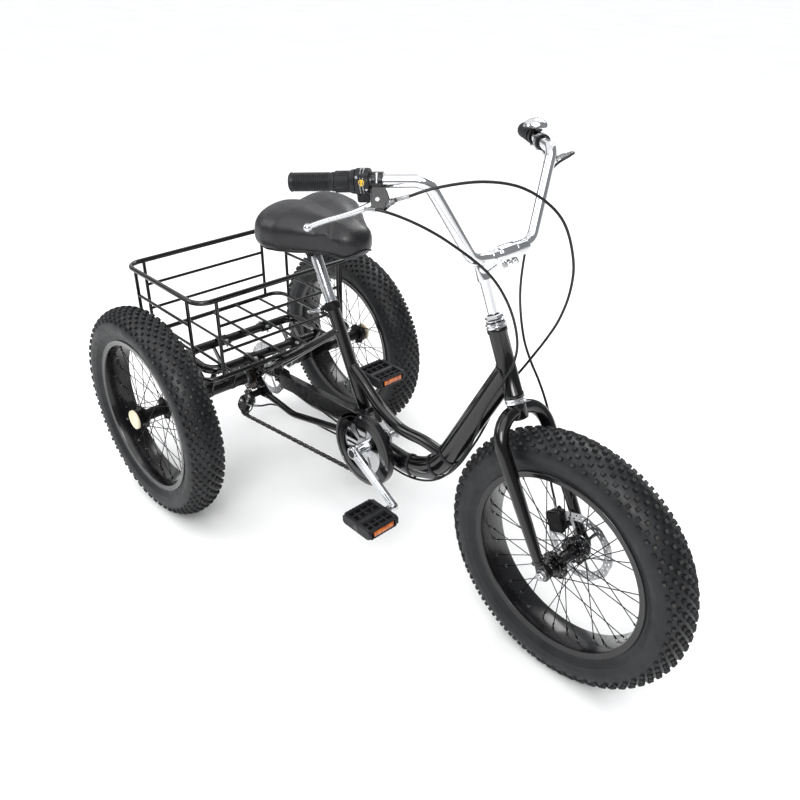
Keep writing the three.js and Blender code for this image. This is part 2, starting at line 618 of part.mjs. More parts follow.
// A platform pedal: a frame with two long windows, one each side of its axle.
function pedalBody() {
  const half = PEDAL_WIDTH / 2;
  const reach = PEDAL_LENGTH / 2;
  const rise = PEDAL_HEIGHT / 2;
  const outline = [[-reach, -rise + 7], [-reach + 7, -rise], [reach - 7, -rise],
    [reach, -rise + 7], [reach, rise - 7], [reach - 7, rise], [-reach + 7, rise],
    [-reach, rise - 7]];
  return cut(
    slab(outline, -half, half),
    box([13, -half + 12, -rise - 1], [reach - 11, half - 12, rise + 1]),
    box([-reach + 11, -half + 12, -rise - 1], [-13, half - 12, rise + 1]),
    bore(0, 0, PEDAL_AXLE_RADIUS + GAP, -half + 5, half + 1));
}
for (const [side, name] of [[-1, 'right_pedal'], [1, 'left_pedal']]) {
  const reach = -side * CRANK_LENGTH;
  const drop = side * CRANK_LENGTH * Math.sin(radians(CRANK_ANGLE));
  const holder = group(BB[0] + reach * Math.cos(radians(CRANK_ANGLE)), side * PEDAL_CENTRE,
    BB[1] + drop);
  part(name, side < 0 ? pedalBody() : mirrored(pedalBody()), 'plastic', holder);
}

// ---- Chain, guard and derailleur ----
const chainCircles = [[...BB, CHAINRING_RADIUS], [0, AXLE_HEIGHT, COG_RADIUS],
  [...GUIDE, PULLEY_RADIUS, -1], [...TENSION, PULLEY_RADIUS]];
part('chain', slab(belt(chainCircles, CHAIN_HALF_HEIGHT, CHAIN_ARC),
  CHAIN_LINE - CHAIN_WIDTH / 2, CHAIN_LINE + CHAIN_WIDTH / 2,
  belt(chainCircles, -CHAIN_HALF_HEIGHT, CHAIN_ARC)), 'darkSteel');

const GUARD_RADIUS = 100;
const GUARD_OPENING = 68;
const GUARD_OUTER = -50;
const GUARD_WALL = 3;
const guardOutline = (inset, rear) => [
  [rear, AXLE_HEIGHT + 38 + inset], [rear, AXLE_HEIGHT + 80 - inset],
  [BB[0] - 20, BB[1] + GUARD_RADIUS - 2 - inset], [BB[0] - 20, BB[1] + 66 + inset]];
const guardShape = (inset, rear, low, high) => join(
  pin(...BB, GUARD_RADIUS - inset, low, high, 32), slab(guardOutline(inset, rear), low, high));
part('chain_guard', cut(
  guardShape(0, 170, GUARD_OUTER, GUARD_INNER),
  guardShape(GUARD_WALL, 160, GUARD_OUTER + GUARD_WALL, GUARD_INNER + 1),
  pin(...BB, GUARD_OPENING, GUARD_OUTER - 1, GUARD_INNER + 1, 24),
  box([BB[0] - 130, GUARD_OUTER + 7, BB[1] - 130], [BB[0] + 130, GUARD_INNER + 1, BB[1] + 20])),
'glossPlastic');

const HANGER = [30, AXLE_HEIGHT - 46];
const CAGE_OUTER = CHAIN_LINE - 8;
const CAGE_INNER = CHAIN_LINE + 6.5;
const CAGE_WALL = 1.9;
part('derailleur_body', join(
  strap([[...HANGER, 11], [...GUIDE, 14]], CAGE_OUTER - CAGE_WALL - GAP - 12,
    CAGE_OUTER - CAGE_WALL - GAP),
  pin(...HANGER, 7, CAGE_OUTER - CAGE_WALL - 1, DROPOUT_RIGHT - PLATE_HALF - GAP),
  pin(...GUIDE, PULLEY_PIN, CAGE_OUTER - CAGE_WALL - 1, CAGE_INNER + CAGE_WALL + 1.5),
  rod(at(-6, -54, GUIDE[1] - 5), at(14, -54, GUIDE[1] - 9), 4, 8)),
'darkSteel');
const cagePlate = (low) => strap([[...GUIDE, 12], [...TENSION, 12]], low, low + CAGE_WALL);
part('derailleur_cage', cut(
  join(cagePlate(CAGE_OUTER - CAGE_WALL), cagePlate(CAGE_INNER),
    pin(...TENSION, PULLEY_PIN, CAGE_OUTER - 1, CAGE_INNER + 1)),
  bore(...GUIDE, PULLEY_PIN + GAP, CAGE_OUTER - 10, CAGE_INNER + 10)),
'darkSteel');
for (const [place, name] of [[GUIDE, 'guide_pulley'], [TENSION, 'tension_pulley']]) {
  part(name, join(
    ring(insideChain(PULLEY_RADIUS), PULLEY_PIN + GAP, CHAIN_LINE - 2, CHAIN_LINE + 2),
    ring(8, PULLEY_PIN + GAP, CAGE_OUTER + GAP, CAGE_INNER - GAP)),
  'plastic', group(place[0], 0, place[1]));
}

// ---- Rear brake caliper, with a slot for the rotor ----
part('rear_caliper', cut(
  box([50, 12, AXLE_HEIGHT - 14], [94, 40, AXLE_HEIGHT + 26]),
  pin(0, AXLE_HEIGHT, ROTOR_RADIUS + 2, ROTOR_FLANGE - 1.2, ROTOR_FLANGE + 4, FACETS)),
'darkSteel');

// ---- Seat: clamp, post and saddle, along the seat tube's own axis ----
const seatTube = group(seatTop.x, 0, seatTop.z);
seatTube.rotation.y = radians(SEAT_ANGLE - 90);
const CLAMP_RADIUS = SEAT_TUBE_RADIUS + 5;
part('seat_clamp', join(
  cut(
    join(upright(ring(CLAMP_RADIUS, 0, -22, -2)),
      box([-CLAMP_RADIUS - 15, -9, -18], [-CLAMP_RADIUS + 3, 9, -5])),
    upright(ring(roundOut(SEAT_TUBE_RADIUS + GAP), 0, -30, 5))),
  rod(at(-CLAMP_RADIUS - 8, -12.3, -11.5), at(-CLAMP_RADIUS - 8, 0, -11.5), 3, 8)),
'blackPaint', seatTube);
const leverPivot = group(-CLAMP_RADIUS - 8, -18, -11.5, seatTube);
part('seat_clamp_lever', join(
  upright(ring(5, 0, -5, 5)).translate([0, 0.4, 0]),
  box([-52, -3.5, -5], [0, 2.5, 5])),
'alloy', leverPivot);
const SADDLE_CLAMP = 17;
part('seat_post', join(
  upright(ring(POST_RADIUS, 0, -POST_INSIDE, POST_SHOWING)),
  rod(at(0, -26, POST_SHOWING + 4), at(0, 26, POST_SHOWING + 4), SADDLE_CLAMP)),
'alloy', seatTube);

const SADDLE_LENGTH = 272;
const SADDLE_HALF_WIDTH = 140;
const SADDLE_THICKNESS = 92;
const saddleBase = seatAxis(SEAT_TUBE_LENGTH + POST_SHOWING + 4).z + SADDLE_CLAMP + GAP;
function saddleBody() {
  const bevel = 30;
  const wing = SADDLE_HALF_WIDTH - bevel;
  const nose = SADDLE_LENGTH - 2 * bevel;
  const outline = new THREE.SplineCurve([
    [0, 0], [4, wing * 0.6], [30, wing * 0.95], [62, wing], [100, wing * 0.72], [140, wing * 0.36],
    [nose - 12, 12], [nose, 0], [nose - 12, -12], [140, -wing * 0.36], [100, -wing * 0.72],
    [62, -wing], [30, -wing * 0.95], [4, -wing * 0.6], [0, 0],
  ].map(([x, y]) => new THREE.Vector2(x, y))).getPoints(28).slice(0, -1);
  return solid(new THREE.ExtrudeGeometry(new THREE.Shape(outline), {
    depth: SADDLE_THICKNESS - 2 * bevel, bevelSize: bevel, bevelThickness: bevel,
    bevelSegments: 3 }).translate(bevel, 0, bevel));
}
part('saddle', saddleBody(), 'vinyl', group(208, 0, saddleBase));

// ---- Headset, fork, front axle and front caliper, along the steering axis ----
const CUP = HEAD_RADIUS + 2;
const steerRing = (outer, inner, low, high) => upright(ring(outer, inner, low, high));
part('headset_lower_cup', steerRing(CUP, STEERER_RADIUS + GAP, -CROWN_DROP + LEG_RADIUS + GAP, -GAP),
  'chrome', steering);
part('headset_upper_cup', steerRing(CUP, STEERER_RADIUS + GAP, HEAD_LENGTH + GAP, HEAD_LENGTH + 13),
  'chrome', steering);
part('headset_locknut', steerRing(HEAD_RADIUS - 1, STEERER_RADIUS + GAP,
  HEAD_LENGTH + 13 + GAP, HEAD_LENGTH + 27), 'chrome', steering);
const QUILL_RADIUS = 10.5;
const STEERER_TOP = HEAD_LENGTH + 28;

const forkEnd = [RAKE, -FORK_LENGTH];
const legCorners = [-1, 1].map((side) => [
  at(RAKE - 2, side * LEG_SPREAD, forkEnd[1] + 22), at(0, side * LEG_SPREAD, -CROWN_DROP)]);
const forkPath = new BentPath([...legCorners[0], ...legCorners[1].reverse()], 58, 5);
const dropout = (side) => slab(
  belt([[...forkEnd, 16], [RAKE - 3, forkEnd[1] + 36, 12]], 0, 40),
  ...(side > 0 ? [DROPOUT_INNER, DROPOUT_INNER + DROPOUT_THICKNESS]
    : [-DROPOUT_INNER - DROPOUT_THICKNESS, -DROPOUT_INNER]));
const CALIPER_BACK = 0.6;
part('fork', cut(
  join(
    swept(forkPath, LEG_RADIUS, LEG_RADIUS, 8),
    upright(ring(STEERER_RADIUS, 0, -CROWN_DROP, STEERER_TOP)),
    [-1, 1].map(dropout),
    box([CALIPER_BACK + GAP, 60, forkEnd[1] + 42], [12, 70, forkEnd[1] + 68])),
  bore(...forkEnd, FRONT_AXLE_RADIUS + GAP, -100, 100),
  upright(ring(roundOut(QUILL_RADIUS + GAP), 0, 40, STEERER_TOP + 5))),
'blackPaint', steering);

const frontAxle = group(RAKE, 0, -FORK_LENGTH, steering);
const NUT = DROPOUT_INNER + DROPOUT_THICKNESS + GAP;
const CONE = DROPOUT_INNER - GAP;
const axleHalf = [[FRONT_AXLE_RADIUS, FRONT_HUB_HALF + 0.8], [8, FRONT_HUB_HALF + 0.8], [8, CONE],
  [FRONT_AXLE_RADIUS, CONE], [FRONT_AXLE_RADIUS, NUT], [10, NUT], [10, NUT + 9],
  [FRONT_AXLE_RADIUS, NUT + 9], [FRONT_AXLE_RADIUS, NUT + 12], [0, NUT + 12]];
part('front_axle', turned(mirrorProfile(axleHalf)), 'steel', frontAxle);
part('front_caliper', cut(
  box([CALIPER_BACK - 40 - RAKE, 43, 30], [CALIPER_BACK - RAKE, 70, 80]),
  pin(0, 0, ROTOR_RADIUS + 2, FRONT_HUB_HALF - 0.9, FRONT_HUB_HALF + 3.3, FACETS)),
'darkSteel', frontAxle);

// ---- Stem and handlebar ----
const STEM_RISE = 250; // clamp centre above the head tube bottom, along the axis
const barClamp = at(
  onSteeringAxis(STEM_RISE + 40).x + 65, 0, onSteeringAxis(STEM_RISE + 40).z + 22);
const stemKnee = onSteeringAxis(STEM_RISE + 10);
const CLAMP_HALF = 22;
const CLAMP_OUTER = 17;
const CLAMP_BORE = 13;
part('stem', cut(
  join(
    rod(onSteeringAxis(50), stemKnee, QUILL_RADIUS),
    rod(onSteeringAxis(STEM_RISE - 12), onSteeringAxis(STEM_RISE + 16), QUILL_RADIUS + 3),
    rod(stemKnee, barClamp, 12),
    pin(barClamp.x, barClamp.z, CLAMP_OUTER, -CLAMP_HALF, CLAMP_HALF)),
  bore(barClamp.x, barClamp.z, CLAMP_BORE + GAP, -CLAMP_HALF - 1, CLAMP_HALF + 1)),
'chrome');

const fromClamp = (x, y, z) => barClamp.clone().add(at(x, y, z));
const BAR_END = [-222.5, 313, 142];
const barSide = (side) => [
  fromClamp(0, side * 38, 0), fromClamp(-5, side * 84, 5), fromClamp(-42, side * 170, 156),
  fromClamp(BAR_END[0], side * BAR_END[1], BAR_END[2])];
const barPath = new BentPath([
  ...barSide(-1).reverse(), ...barSide(1)], 34, 4);
part('handlebar', join(
  swept(barPath, BAR_RADIUS, BAR_RADIUS, 8),
  pin(barClamp.x, barClamp.z, CLAMP_BORE, -CLAMP_HALF - 18, CLAMP_HALF + 18)),
'chrome');

// What sits on a bar end: local X runs inwards along the bar, local Z is up.
function barEnd(side) {
  const [, , knee, end] = barSide(side);
  const inwards = knee.clone().sub(end).normalize();
  const across = at(0, 0, 1).cross(inwards).normalize();
  const holder = group(end.x, end.y, end.z);
  holder.quaternion.setFromRotationMatrix(
    new THREE.Matrix4().makeBasis(inwards, across, inwards.clone().cross(across)));
  return holder;
}
const onBar = (body) => body.rotate([0, 0, -90]);
const barSleeve = (outer, from, to, sides = FINE) =>
  onBar(ring(outer, BAR_RADIUS + GAP, from, to, sides));

const gripBody = () => onBar(turned([
  [0, -5], [GRIP_RADIUS, -5], [GRIP_RADIUS, GRIP_LENGTH], [roundOut(BAR_RADIUS + GAP), GRIP_LENGTH],
  [roundOut(BAR_RADIUS + GAP), -GAP], [0, -GAP]]));

// The lever and its bracket lie in a plane that hangs from the bar on its outer side.
// In that plane X runs inwards along the bar, Y away from it and Z across the lever.
const BRACKET_FROM = 138;
const BRACKET_TO = 158;
const PIVOT = [150, 34];
const ADJUSTER_END = [186, 42.5, 34];
function bracketBody(side) {
  const arm = slab([[BRACKET_FROM, 8], [BRACKET_TO + 4, 8], [PIVOT[0] + 22, PIVOT[1] + 4],
    [PIVOT[0] + 10, PIVOT[1] + 16], [PIVOT[0] - 12, PIVOT[1] + 14]], -9, 9);
  const lying = arm.rotate([-90, 0, 0]);
  return cut(
    join(onBar(ring(GRIP_RADIUS, 0, BRACKET_FROM, BRACKET_TO)), lying,
      rod(at(PIVOT[0] + 12, PIVOT[1] + 6, 0),
        at(ADJUSTER_END[0], ADJUSTER_END[1], side * ADJUSTER_END[2]), 4, 8)),
    onBar(pin(0, 0, roundOut(BAR_RADIUS + GAP), BRACKET_FROM - 40, BRACKET_TO + 60)),
    box([PIVOT[0] - 40, PIVOT[1] - 10.5, -4.5], [PIVOT[0] + 12, PIVOT[1] + 30, 4.5]));
}
function leverBody() {
  const blade = [[9, -7], [9, 7], [-6, 9], [-40, 25], [-80, 36], [-118, 48], [-122, 42],
    [-84, 27], [-44, 14], [-12, -6]];
  const ball = new THREE.IcosahedronGeometry(8, 1);
  return join(
    slab(blade, -4, 4).rotate([-90, 0, 0]), solid(ball.translate(-120, 45, 0)));
}

for (const [side, word] of [[-1, 'right'], [1, 'left']]) {
  const holder = barEnd(side);
  const tilted = new THREE.Group();
  tilted.rotation.x = side < 0 ? Math.PI + radians(LEVER_SWING) : -radians(LEVER_SWING);
  holder.add(tilted);
  part(`${word}_grip`, gripBody(), 'plastic', holder);
  part(`${word}_brake_bracket`, bracketBody(side), 'alloy', tilted);
  part(`${word}_brake_lever`, leverBody(), 'alloy', group(...PIVOT, 0, tilted));
  if (side < 0) {
    part('twist_grip', barSleeve(19, GRIP_LENGTH + 1, 110), 'plastic', holder);
    part('shifter_housing', join(
      barSleeve(22, 110.5, 136),
      cut(box([112, -8, -34], [134, 8, -14]), onBar(pin(0, 0, 15, 100, 140)))),
    'plastic', holder);
  } else {
    part('bell_body', join(
      barSleeve(15, 80, 98),
      rod(at(89, 0, 13), at(89, 0, 35), 4, 8),
      upright(turned([[0, 37], [14, 35], [22, 29], [25, 21], [23.5, 21], [20.5, 28], [13, 33],
        [0, 35]], 10)).translate([89, 0, 0])),
    'chrome', holder);
    part('bell_lever', join(
      upright(ring(7, 4 + GAP, 16.5, 19.5)),
      slab([[5, -4], [34, -4], [34, 4], [5, 4]], 16.5, 19.5).rotate([90, 0, 0])),
    'steel', group(89, 0, 0, holder));
  }
}

// ---- Control cables ----
const CABLE_RADIUS = 2.5;
const near = (anchor, ...points) => points.map(([x, y, z]) => at(x, y, z).add(anchor));
const rearCentre = at(0, 0, AXLE_HEIGHT);
const bracketShell = at(BB[0], 0, BB[1]);

// Places beside the main tube: [steps along its path, Y, distance below its centre line].
const alongTube = (...points) => points.map(([step, y, below]) => {
  const share = step / mainTubePath.steps;
  const along = mainTubePath.getTangentAt(share);
  return mainTubePath.getPointAt(share).addScaledVector(at(-along.z, 0, along.x), below).setY(y);
});

part('rear_brake_cable', cable([
  ...near(barClamp, [-42, -238, 138], [-29, -228, 143], [-1, -200, 157], [47, -125, 165],
    [89, -70, 151]),
  ...near(headBottom, [76, -22, 390], [91, 8, 311], [85, 20, 251], [63, 30, 184],
    [37, 36, 134], [11, 38, 89], [-17, 37, 41], [-47, 32, -9]),
  ...alongTube([0.4, 26, 13], [0.554, 20, 22], [0.68, 14, 28], [0.8, 8, 31.5], [1, 8, 31.5],
    [3, 8, 31.5], [5, 8, 31.5], [7, 8, 31.5]),
  ...near(bracketShell, [30, 8, -37], [-24, 9, -36], [-104, 12, -30]),
  ...near(rearCentre, [250, 18, -22], [150, 24, -6], [94.5, 26, 6])], CABLE_RADIUS, 48), 'cable');
part('shift_cable', cable([
  ...near(barClamp, [-93, -265, 116.5], [-66, -252, 116.5], [-43, -225, 104.5], [-14, -195, 85.5],
    [12, -160, 57.5]),
  ...near(headBottom, [2, -105, 286], [23, -68, 218], [29, -46, 145], [19, -39, 96],
    [-5, -33, 46], [-29, -31, 0]),
  ...alongTube([0.34, -26, 18], [0.48, -20, 25], [0.6, -14, 29], [0.72, -8, 31.5], [1, -8, 31.5],
    [3, -8, 31.5], [5, -8, 31.5], [7, -8, 31.5]),
  ...near(bracketShell, [30, -8, -37], [-64, -8, -38]),
  ...near(rearCentre, [300, -8, -50], [120, -8, -68], [60, -14, -80], [40, -32, -87],
    [17.5, -54, -87])], CABLE_RADIUS, 48), 'cable');
part('front_brake_cable', cable([
  ...near(barClamp, [-42, 238, 138], [-31, 226, 142], [-28, 208, 139], [-44, 192, 123],
    [-60, 184, 92], [-67, 168, 35]),
  ...near(headBottom, [-116, 146, 259], [-71, 80, 178], [-35, 58, 100], [-17, 66, 50],
    [-2, 80, 6], [14, 92, -44], [33, 93, -92], [47, 88, -149]),
  ...near(at(WHEELBASE, 0, AXLE_HEIGHT), [-101, 66, 115], [-81, 60, 76], [-73.5, 57, 60])],
CABLE_RADIUS, 28), 'cable');

export default tricycle;
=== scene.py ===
"""Adult tricycle with fat tyres, a step-through frame and a cargo basket.

Shapes are worked out in millimetres from the point on the ground below the rear axle: X forward,
Y to the rider's left, Z up. make_piece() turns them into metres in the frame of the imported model.
"""
import json
import math

import bmesh
import bpy
import numpy as np
from mathutils import Matrix, Vector


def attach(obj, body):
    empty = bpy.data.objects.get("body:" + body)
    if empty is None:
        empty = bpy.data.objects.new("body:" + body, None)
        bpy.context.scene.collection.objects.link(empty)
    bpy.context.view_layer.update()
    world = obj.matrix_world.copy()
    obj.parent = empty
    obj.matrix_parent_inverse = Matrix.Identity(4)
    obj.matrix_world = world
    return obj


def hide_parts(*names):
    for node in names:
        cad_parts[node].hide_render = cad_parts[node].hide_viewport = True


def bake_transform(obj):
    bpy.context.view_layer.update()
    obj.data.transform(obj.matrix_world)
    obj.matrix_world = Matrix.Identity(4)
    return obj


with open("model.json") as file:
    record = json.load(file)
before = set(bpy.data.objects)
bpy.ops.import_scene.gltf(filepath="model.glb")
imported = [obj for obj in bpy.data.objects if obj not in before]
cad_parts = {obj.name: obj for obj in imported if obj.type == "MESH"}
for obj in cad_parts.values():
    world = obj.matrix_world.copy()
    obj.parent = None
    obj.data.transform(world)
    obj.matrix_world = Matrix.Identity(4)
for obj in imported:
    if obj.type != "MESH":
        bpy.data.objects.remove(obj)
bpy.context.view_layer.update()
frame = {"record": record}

bl_info = {"name": "Cargo Tricycle", "version": (1, 0, 0), "blender": (4, 5, 0),
    "location": "3D View > Sidebar > Tricycle",
    "description": "Builds an adult tricycle with fat tyres and a wire basket, piece by piece",
    "category": "Object",}

JOINTS = {joint["name"]: joint for joint in frame["record"]["behaviour"]["joints"]}
HALF_BASE = 1000 * JOINTS["front_wheel_spin"]["pos_m"][0]


def pivot(joint):
    """A joint's place in millimetres, from the ground below the rear axle."""
    return 1000 * np.array(JOINTS[joint]["pos_m"]) + [HALF_BASE, 0, 0]


AXLE_HEIGHT = pivot("rear_axle_spin")[2]
WHEELBASE = pivot("front_wheel_spin")[0]
HALF_TRACK = -pivot("right_rear_wheel_spin")[1]
CRANK_AXIS = pivot("crank_spin")
HEAD_BOTTOM = pivot("steering_turn")
STEER_AXIS = np.array(JOINTS["steering_turn"]["axis"])
SEAT_AXIS = np.array(JOINTS["seat_height"]["axis"])
TYRE_CASING = 285.0
RIM_LIP = 210.5
CHAIN_LINE = -38.0
CHAIN_PITCH = 12.7
CHAINRING_TEETH, COG_TEETH, PULLEY_TEETH = 44, 20, 11
FLOOR = 60.0 # metres from the middle of the floor to its edges
X, Y, Z = np.eye(3)
ORIGIN = np.zeros(3)
SAME_PLACE = 2e-6 # metres within which two points of a piece are one
NOISE = "ShaderNodeTexNoise"
ENAMEL = "gloss_black_enamel"
POWDER_COAT = "satin_black_powder_coat"
DARK_STEEL = "black_phosphate_steel"
CHROME = "chrome_plate"
ALLOY = "polished_aluminium"
ZINC = "zinc_plated_steel"
SPOKE_WIRE = "dark_spoke_wire"
CHAIN_STEEL = "oiled_chain_steel"
RUBBER = "tyre_rubber"
# Paler knob tops: a painted highlight on the tops, with dust and wear.
KNOB_TOP_DUST_AND_HIGHLIGHT = "worn_knob_tops"
VINYL = "grained_vinyl"
PLASTIC = "moulded_black_plastic"
GLOSS_PLASTIC = "gloss_black_abs"
CABLE_SLEEVE = "pvc_cable_sleeve"
PAPER = "pale_seamless_paper"


# ---- Shapes: a skin is (points, [arrays of faces]) ----

def grid_faces(rows, cols, close_rows=False, close_cols=True):
    """Quads between neighbouring places of a grid of points, joined up where it closes."""
    r = np.arange(rows if close_rows else rows - 1)[:, None]
    c = np.arange(cols if close_cols else cols - 1)[None, :]
    r2, c2 = (r + 1) % rows, (c + 1) % cols
    corners = [r * cols + c, r * cols + c2, r2 * cols + c2, r2 * cols + c]
    return np.stack(corners, -1).reshape(-1, 4)


def joined(*skins):
    """Several skins as one, each one's faces counted on from the points before it."""
    points, faces, start = [], [], 0
    for skin_points, skin_faces in skins:
        points.append(skin_points)
        faces += [group + start for group in skin_faces]
        start += len(skin_points)
    return np.concatenate(points), faces


def moved(skin, by):
    return skin[0] + np.asarray(by, float), skin[1]


def placed(skin, origin, axes):
    """A skin drawn in its own axes, put where those three directions and that origin are."""
    return skin[0] @ np.asarray(axes) + origin, skin[1]


def in_axes(origin, axes, *groups):
    """Groups of a material and its skins, each group made one skin and put in those axes."""
    return [(material, placed(joined(*skins), origin, axes)) for material, *skins in groups]


def mirrored(skin):
    return skin[0] * [1, -1, 1], skin[1]


def copies(skin, origins, axes):
    """One small skin repeated: point p of copy k lies at origin k + p in the axes of k."""
    points, faces = skin
    spread = np.einsum("pi,kij->kpj", points, axes) + origins[:, None, :]
    steps = np.arange(len(origins))[:, None, None] * len(points)
    return spread.reshape(-1, 3), [(group[None] + steps).reshape(-1, group.shape[1])
        for group in faces]


def unit(vectors):
    return vectors / np.linalg.norm(vectors, axis=-1, keepdims=True)


def sides_of(direction):
    """Two directions square to a given one and to each other."""
    direction = unit(np.asarray(direction, float))
    helper = X if abs(direction[0]) < 0.8 else Z
    first = unit(np.cross(direction, helper))
    return first, np.cross(direction, first)


def lathe(origin, direction, profile, steps, loop=True, arc=(0, 360)):
    """A profile of [radius, distance] turned about a line: point = origin + distance along the
    line + radius times (cos, sin) of the turn. The profile closes on itself if loop is true."""
    direction = unit(np.asarray(direction, float))
    first, second = sides_of(direction)
    full = arc[1] - arc[0] >= 360
    turn = np.radians(np.linspace(*arc, steps, endpoint=not full))
    profile = np.asarray(profile, float)
    round_ = np.cos(turn)[:, None] * first + np.sin(turn)[:, None] * second
    points = (origin + profile[None, :, 1:] * direction
        + profile[None, :, :1] * round_[:, None, :])
    count = len(profile)
    faces = [grid_faces(steps, count, full, loop)]
    if not full and loop:
        faces += [np.arange(count)[None], np.arange(count)[None] + (steps - 1) * count]
    return points.reshape(-1, 3), faces


def washer(origin, direction, outer, inner, low, high, bevel=0.6, steps=40):
    """A turned ring or sleeve with its edges broken by a small chamfer."""
    return lathe(origin, direction, [[inner, low], [outer - bevel, low], [outer, low + bevel],
        [outer, high - bevel], [outer - bevel, high], [inner, high]], steps)


def disc(origin, direction, radius, low, high, bevel, steps):
    return lathe(origin, direction, [[0, low], [radius - bevel, low], [radius, low + bevel],
        [radius, high - bevel], [radius - bevel, high], [0, high]], steps, loop=False)


def hexagon(origin, direction, across, low, high):
    """A bolt head or nut: a six-sided prism with its corners chamfered."""
    radius = across / math.sqrt(3)
    return disc(origin, direction, radius, low, high, bevel=across * 0.06, steps=6)


def ellipse(half_width, half_height, sides):
    turn = np.linspace(0, 2 * np.pi, sides, endpoint=False)
    return np.stack([half_width * np.cos(turn), half_height * np.sin(turn)], -1)


def sweep(path, section, across=None, closed=False):
    """A section carried along a path. Its first coordinate lies along a direction that starts at
    `across` and is kept square to the path from place to place, its second square to both."""
    path = np.asarray(path, float)
    if closed:
        tangent = unit(np.roll(path, -1, 0) - np.roll(path, 1, 0))
    else:
        tangent = unit(np.gradient(path, axis=0))
    side = sides_of(tangent[0])[0] if across is None else np.asarray(across, float)
    sides = []
    for heading in tangent:
        side = unit(side - heading * side.dot(heading))
        sides.append(side)
    sides = np.array(sides)
    ups = np.cross(tangent, sides)
    section = np.broadcast_to(section, (len(path),) + np.shape(section)[-2:])
    points = (path[:, None, :] + section[..., :1] * sides[:, None, :]
        + section[..., 1:] * ups[:, None, :])
    count = section.shape[1]
    faces = [grid_faces(len(path), count, closed)]
    if not closed:
        faces += [np.arange(count)[None], np.arange(count)[None] + (len(path) - 1) * count]
    return points.reshape(-1, 3), faces


def rods(starts, ends, radius, sides=6):
    """Straight round wires between pairs of places, all at once."""
    starts, ends = np.asarray(starts, float), np.asarray(ends, float)
    along = ends - starts
    first = unit(np.cross(along, [0.31, 0.87, 0.38]))
    second = np.cross(unit(along), first)
    ring = ellipse(radius, radius, sides)
    template = np.concatenate([np.c_[ring, np.zeros(sides)], np.c_[ring, np.ones(sides)]])
    faces = [grid_faces(2, sides), np.arange(sides)[None], np.arange(sides)[None] + sides]
    return copies((template, faces), starts, np.stack([first, second, along], 1))


def tube(start, end, radius, sides=20):
    return rods([start], [end], radius, sides)


def bent_path(corners, radius, steps, closed=False):
    """Straight runs joined by arcs that touch both: each arc's centre lies on the line that
    halves the corner, at radius / sin(half the corner's angle) from it."""
    corners = np.asarray(corners, float)
    if closed:
        before, here, after = np.roll(corners, 1, 0), corners, np.roll(corners, -1, 0)
    else:
        before, here, after = corners[:-2], corners[1:-1], corners[2:]
    back, on = unit(before - here), unit(after - here)
    half = np.arccos(np.clip((back * on).sum(-1), -1, 1)) / 2
    centre = here + unit(back + on) * (radius / np.sin(half))[:, None]
    reach = (radius / np.tan(half))[:, None]
    first, last = here + back * reach - centre, here + on * reach - centre
    sweep_angle = (np.pi - 2 * half)[:, None, None]
    t = np.linspace(0, 1, steps)[None, :, None]
    arc = (np.sin((1 - t) * sweep_angle) * first[:, None]
        + np.sin(t * sweep_angle) * last[:, None]) / np.sin(sweep_angle)
    points = (arc + centre[:, None]).reshape(-1, 3)
    return points if closed else np.concatenate([corners[:1], points, corners[-1:]])


def smooth_path(points, per_span=8):
    """A centripetal Catmull-Rom curve: each span is the cubic whose end slopes come from the
    chords on both sides, weighed by the square roots of their lengths."""
    points = np.asarray(points, float)
    before_first, after_last = 2 * points[:1] - points[1:2], 2 * points[-1:] - points[-2:-1]
    padded = np.concatenate([before_first, points, after_last])
    gap = np.sqrt(np.linalg.norm(np.diff(padded, axis=0), axis=1))[:, None]
    before, span, after = gap[:-2], gap[1:-1], gap[2:]
    a, b, c, d = padded[:-3], padded[1:-2], padded[2:-1], padded[3:]
    leave = span * ((b - a) / before - (c - a) / (before + span) + (c - b) / span)
    arrive = span * ((c - b) / span - (d - b) / (span + after) + (d - c) / after)
    t = np.linspace(0, 1, per_span, endpoint=False)[None, :, None]
    b, c, leave, arrive = (value[:, None] for value in (b, c, leave, arrive))
    curve = (b + leave * t + (3 * (c - b) - 2 * leave - arrive) * t ** 2
        + (2 * (b - c) + leave + arrive) * t ** 3)
    return np.concatenate([curve.reshape(-1, points.shape[1]), points[-1:]])


def even_path(points, spacing):
    """The same line with its places a fixed distance apart."""
    gaps = np.linalg.norm(np.diff(points, axis=0), axis=1)
    length = np.r_[0, np.cumsum(gaps)]
    where = np.linspace(0, length[-1], max(2, int(round(length[-1] / spacing)) + 1))
    return np.stack([np.interp(where, length, points[:, k]) for k in range(points.shape[1])], -1)


def round_corners(outline, radius, steps):
    """A flat outline with its corners rounded."""
    lifted = np.c_[np.asarray(outline, float), np.zeros(len(outline))]
    return bent_path(lifted, radius, steps, closed=True)[:, :2]


def plate(outline, low, high, bevel):
    """A flat piece with its outline in X and Z, between two places in Y. Its edges are chamfered
    by moving each outline point inwards along the middle of its two sides' normals."""
    outline = np.asarray(outline, float)
    ahead = np.roll(outline, -1, 0) - outline
    normal = unit(np.stack([ahead[:, 1], -ahead[:, 0]], -1))
    area = (outline[:, 0] * np.roll(outline[:, 1], -1) - outline[:, 1]
        * np.roll(outline[:, 0], -1)).sum()
    inwards = -unit(normal + np.roll(normal, 1, 0)) * np.sign(area)
    inner = outline + inwards * bevel
    rings = [(inner, low), (outline, low + bevel), (outline, high - bevel), (inner, high)]
    points = np.concatenate([np.stack([ring[:, 0], np.full(len(ring), y), ring[:, 1]], -1)
        for ring, y in rings])
    count = len(outline)
    return points, [grid_faces(4, count), np.arange(count)[None],
        np.arange(count)[None] + 3 * count]


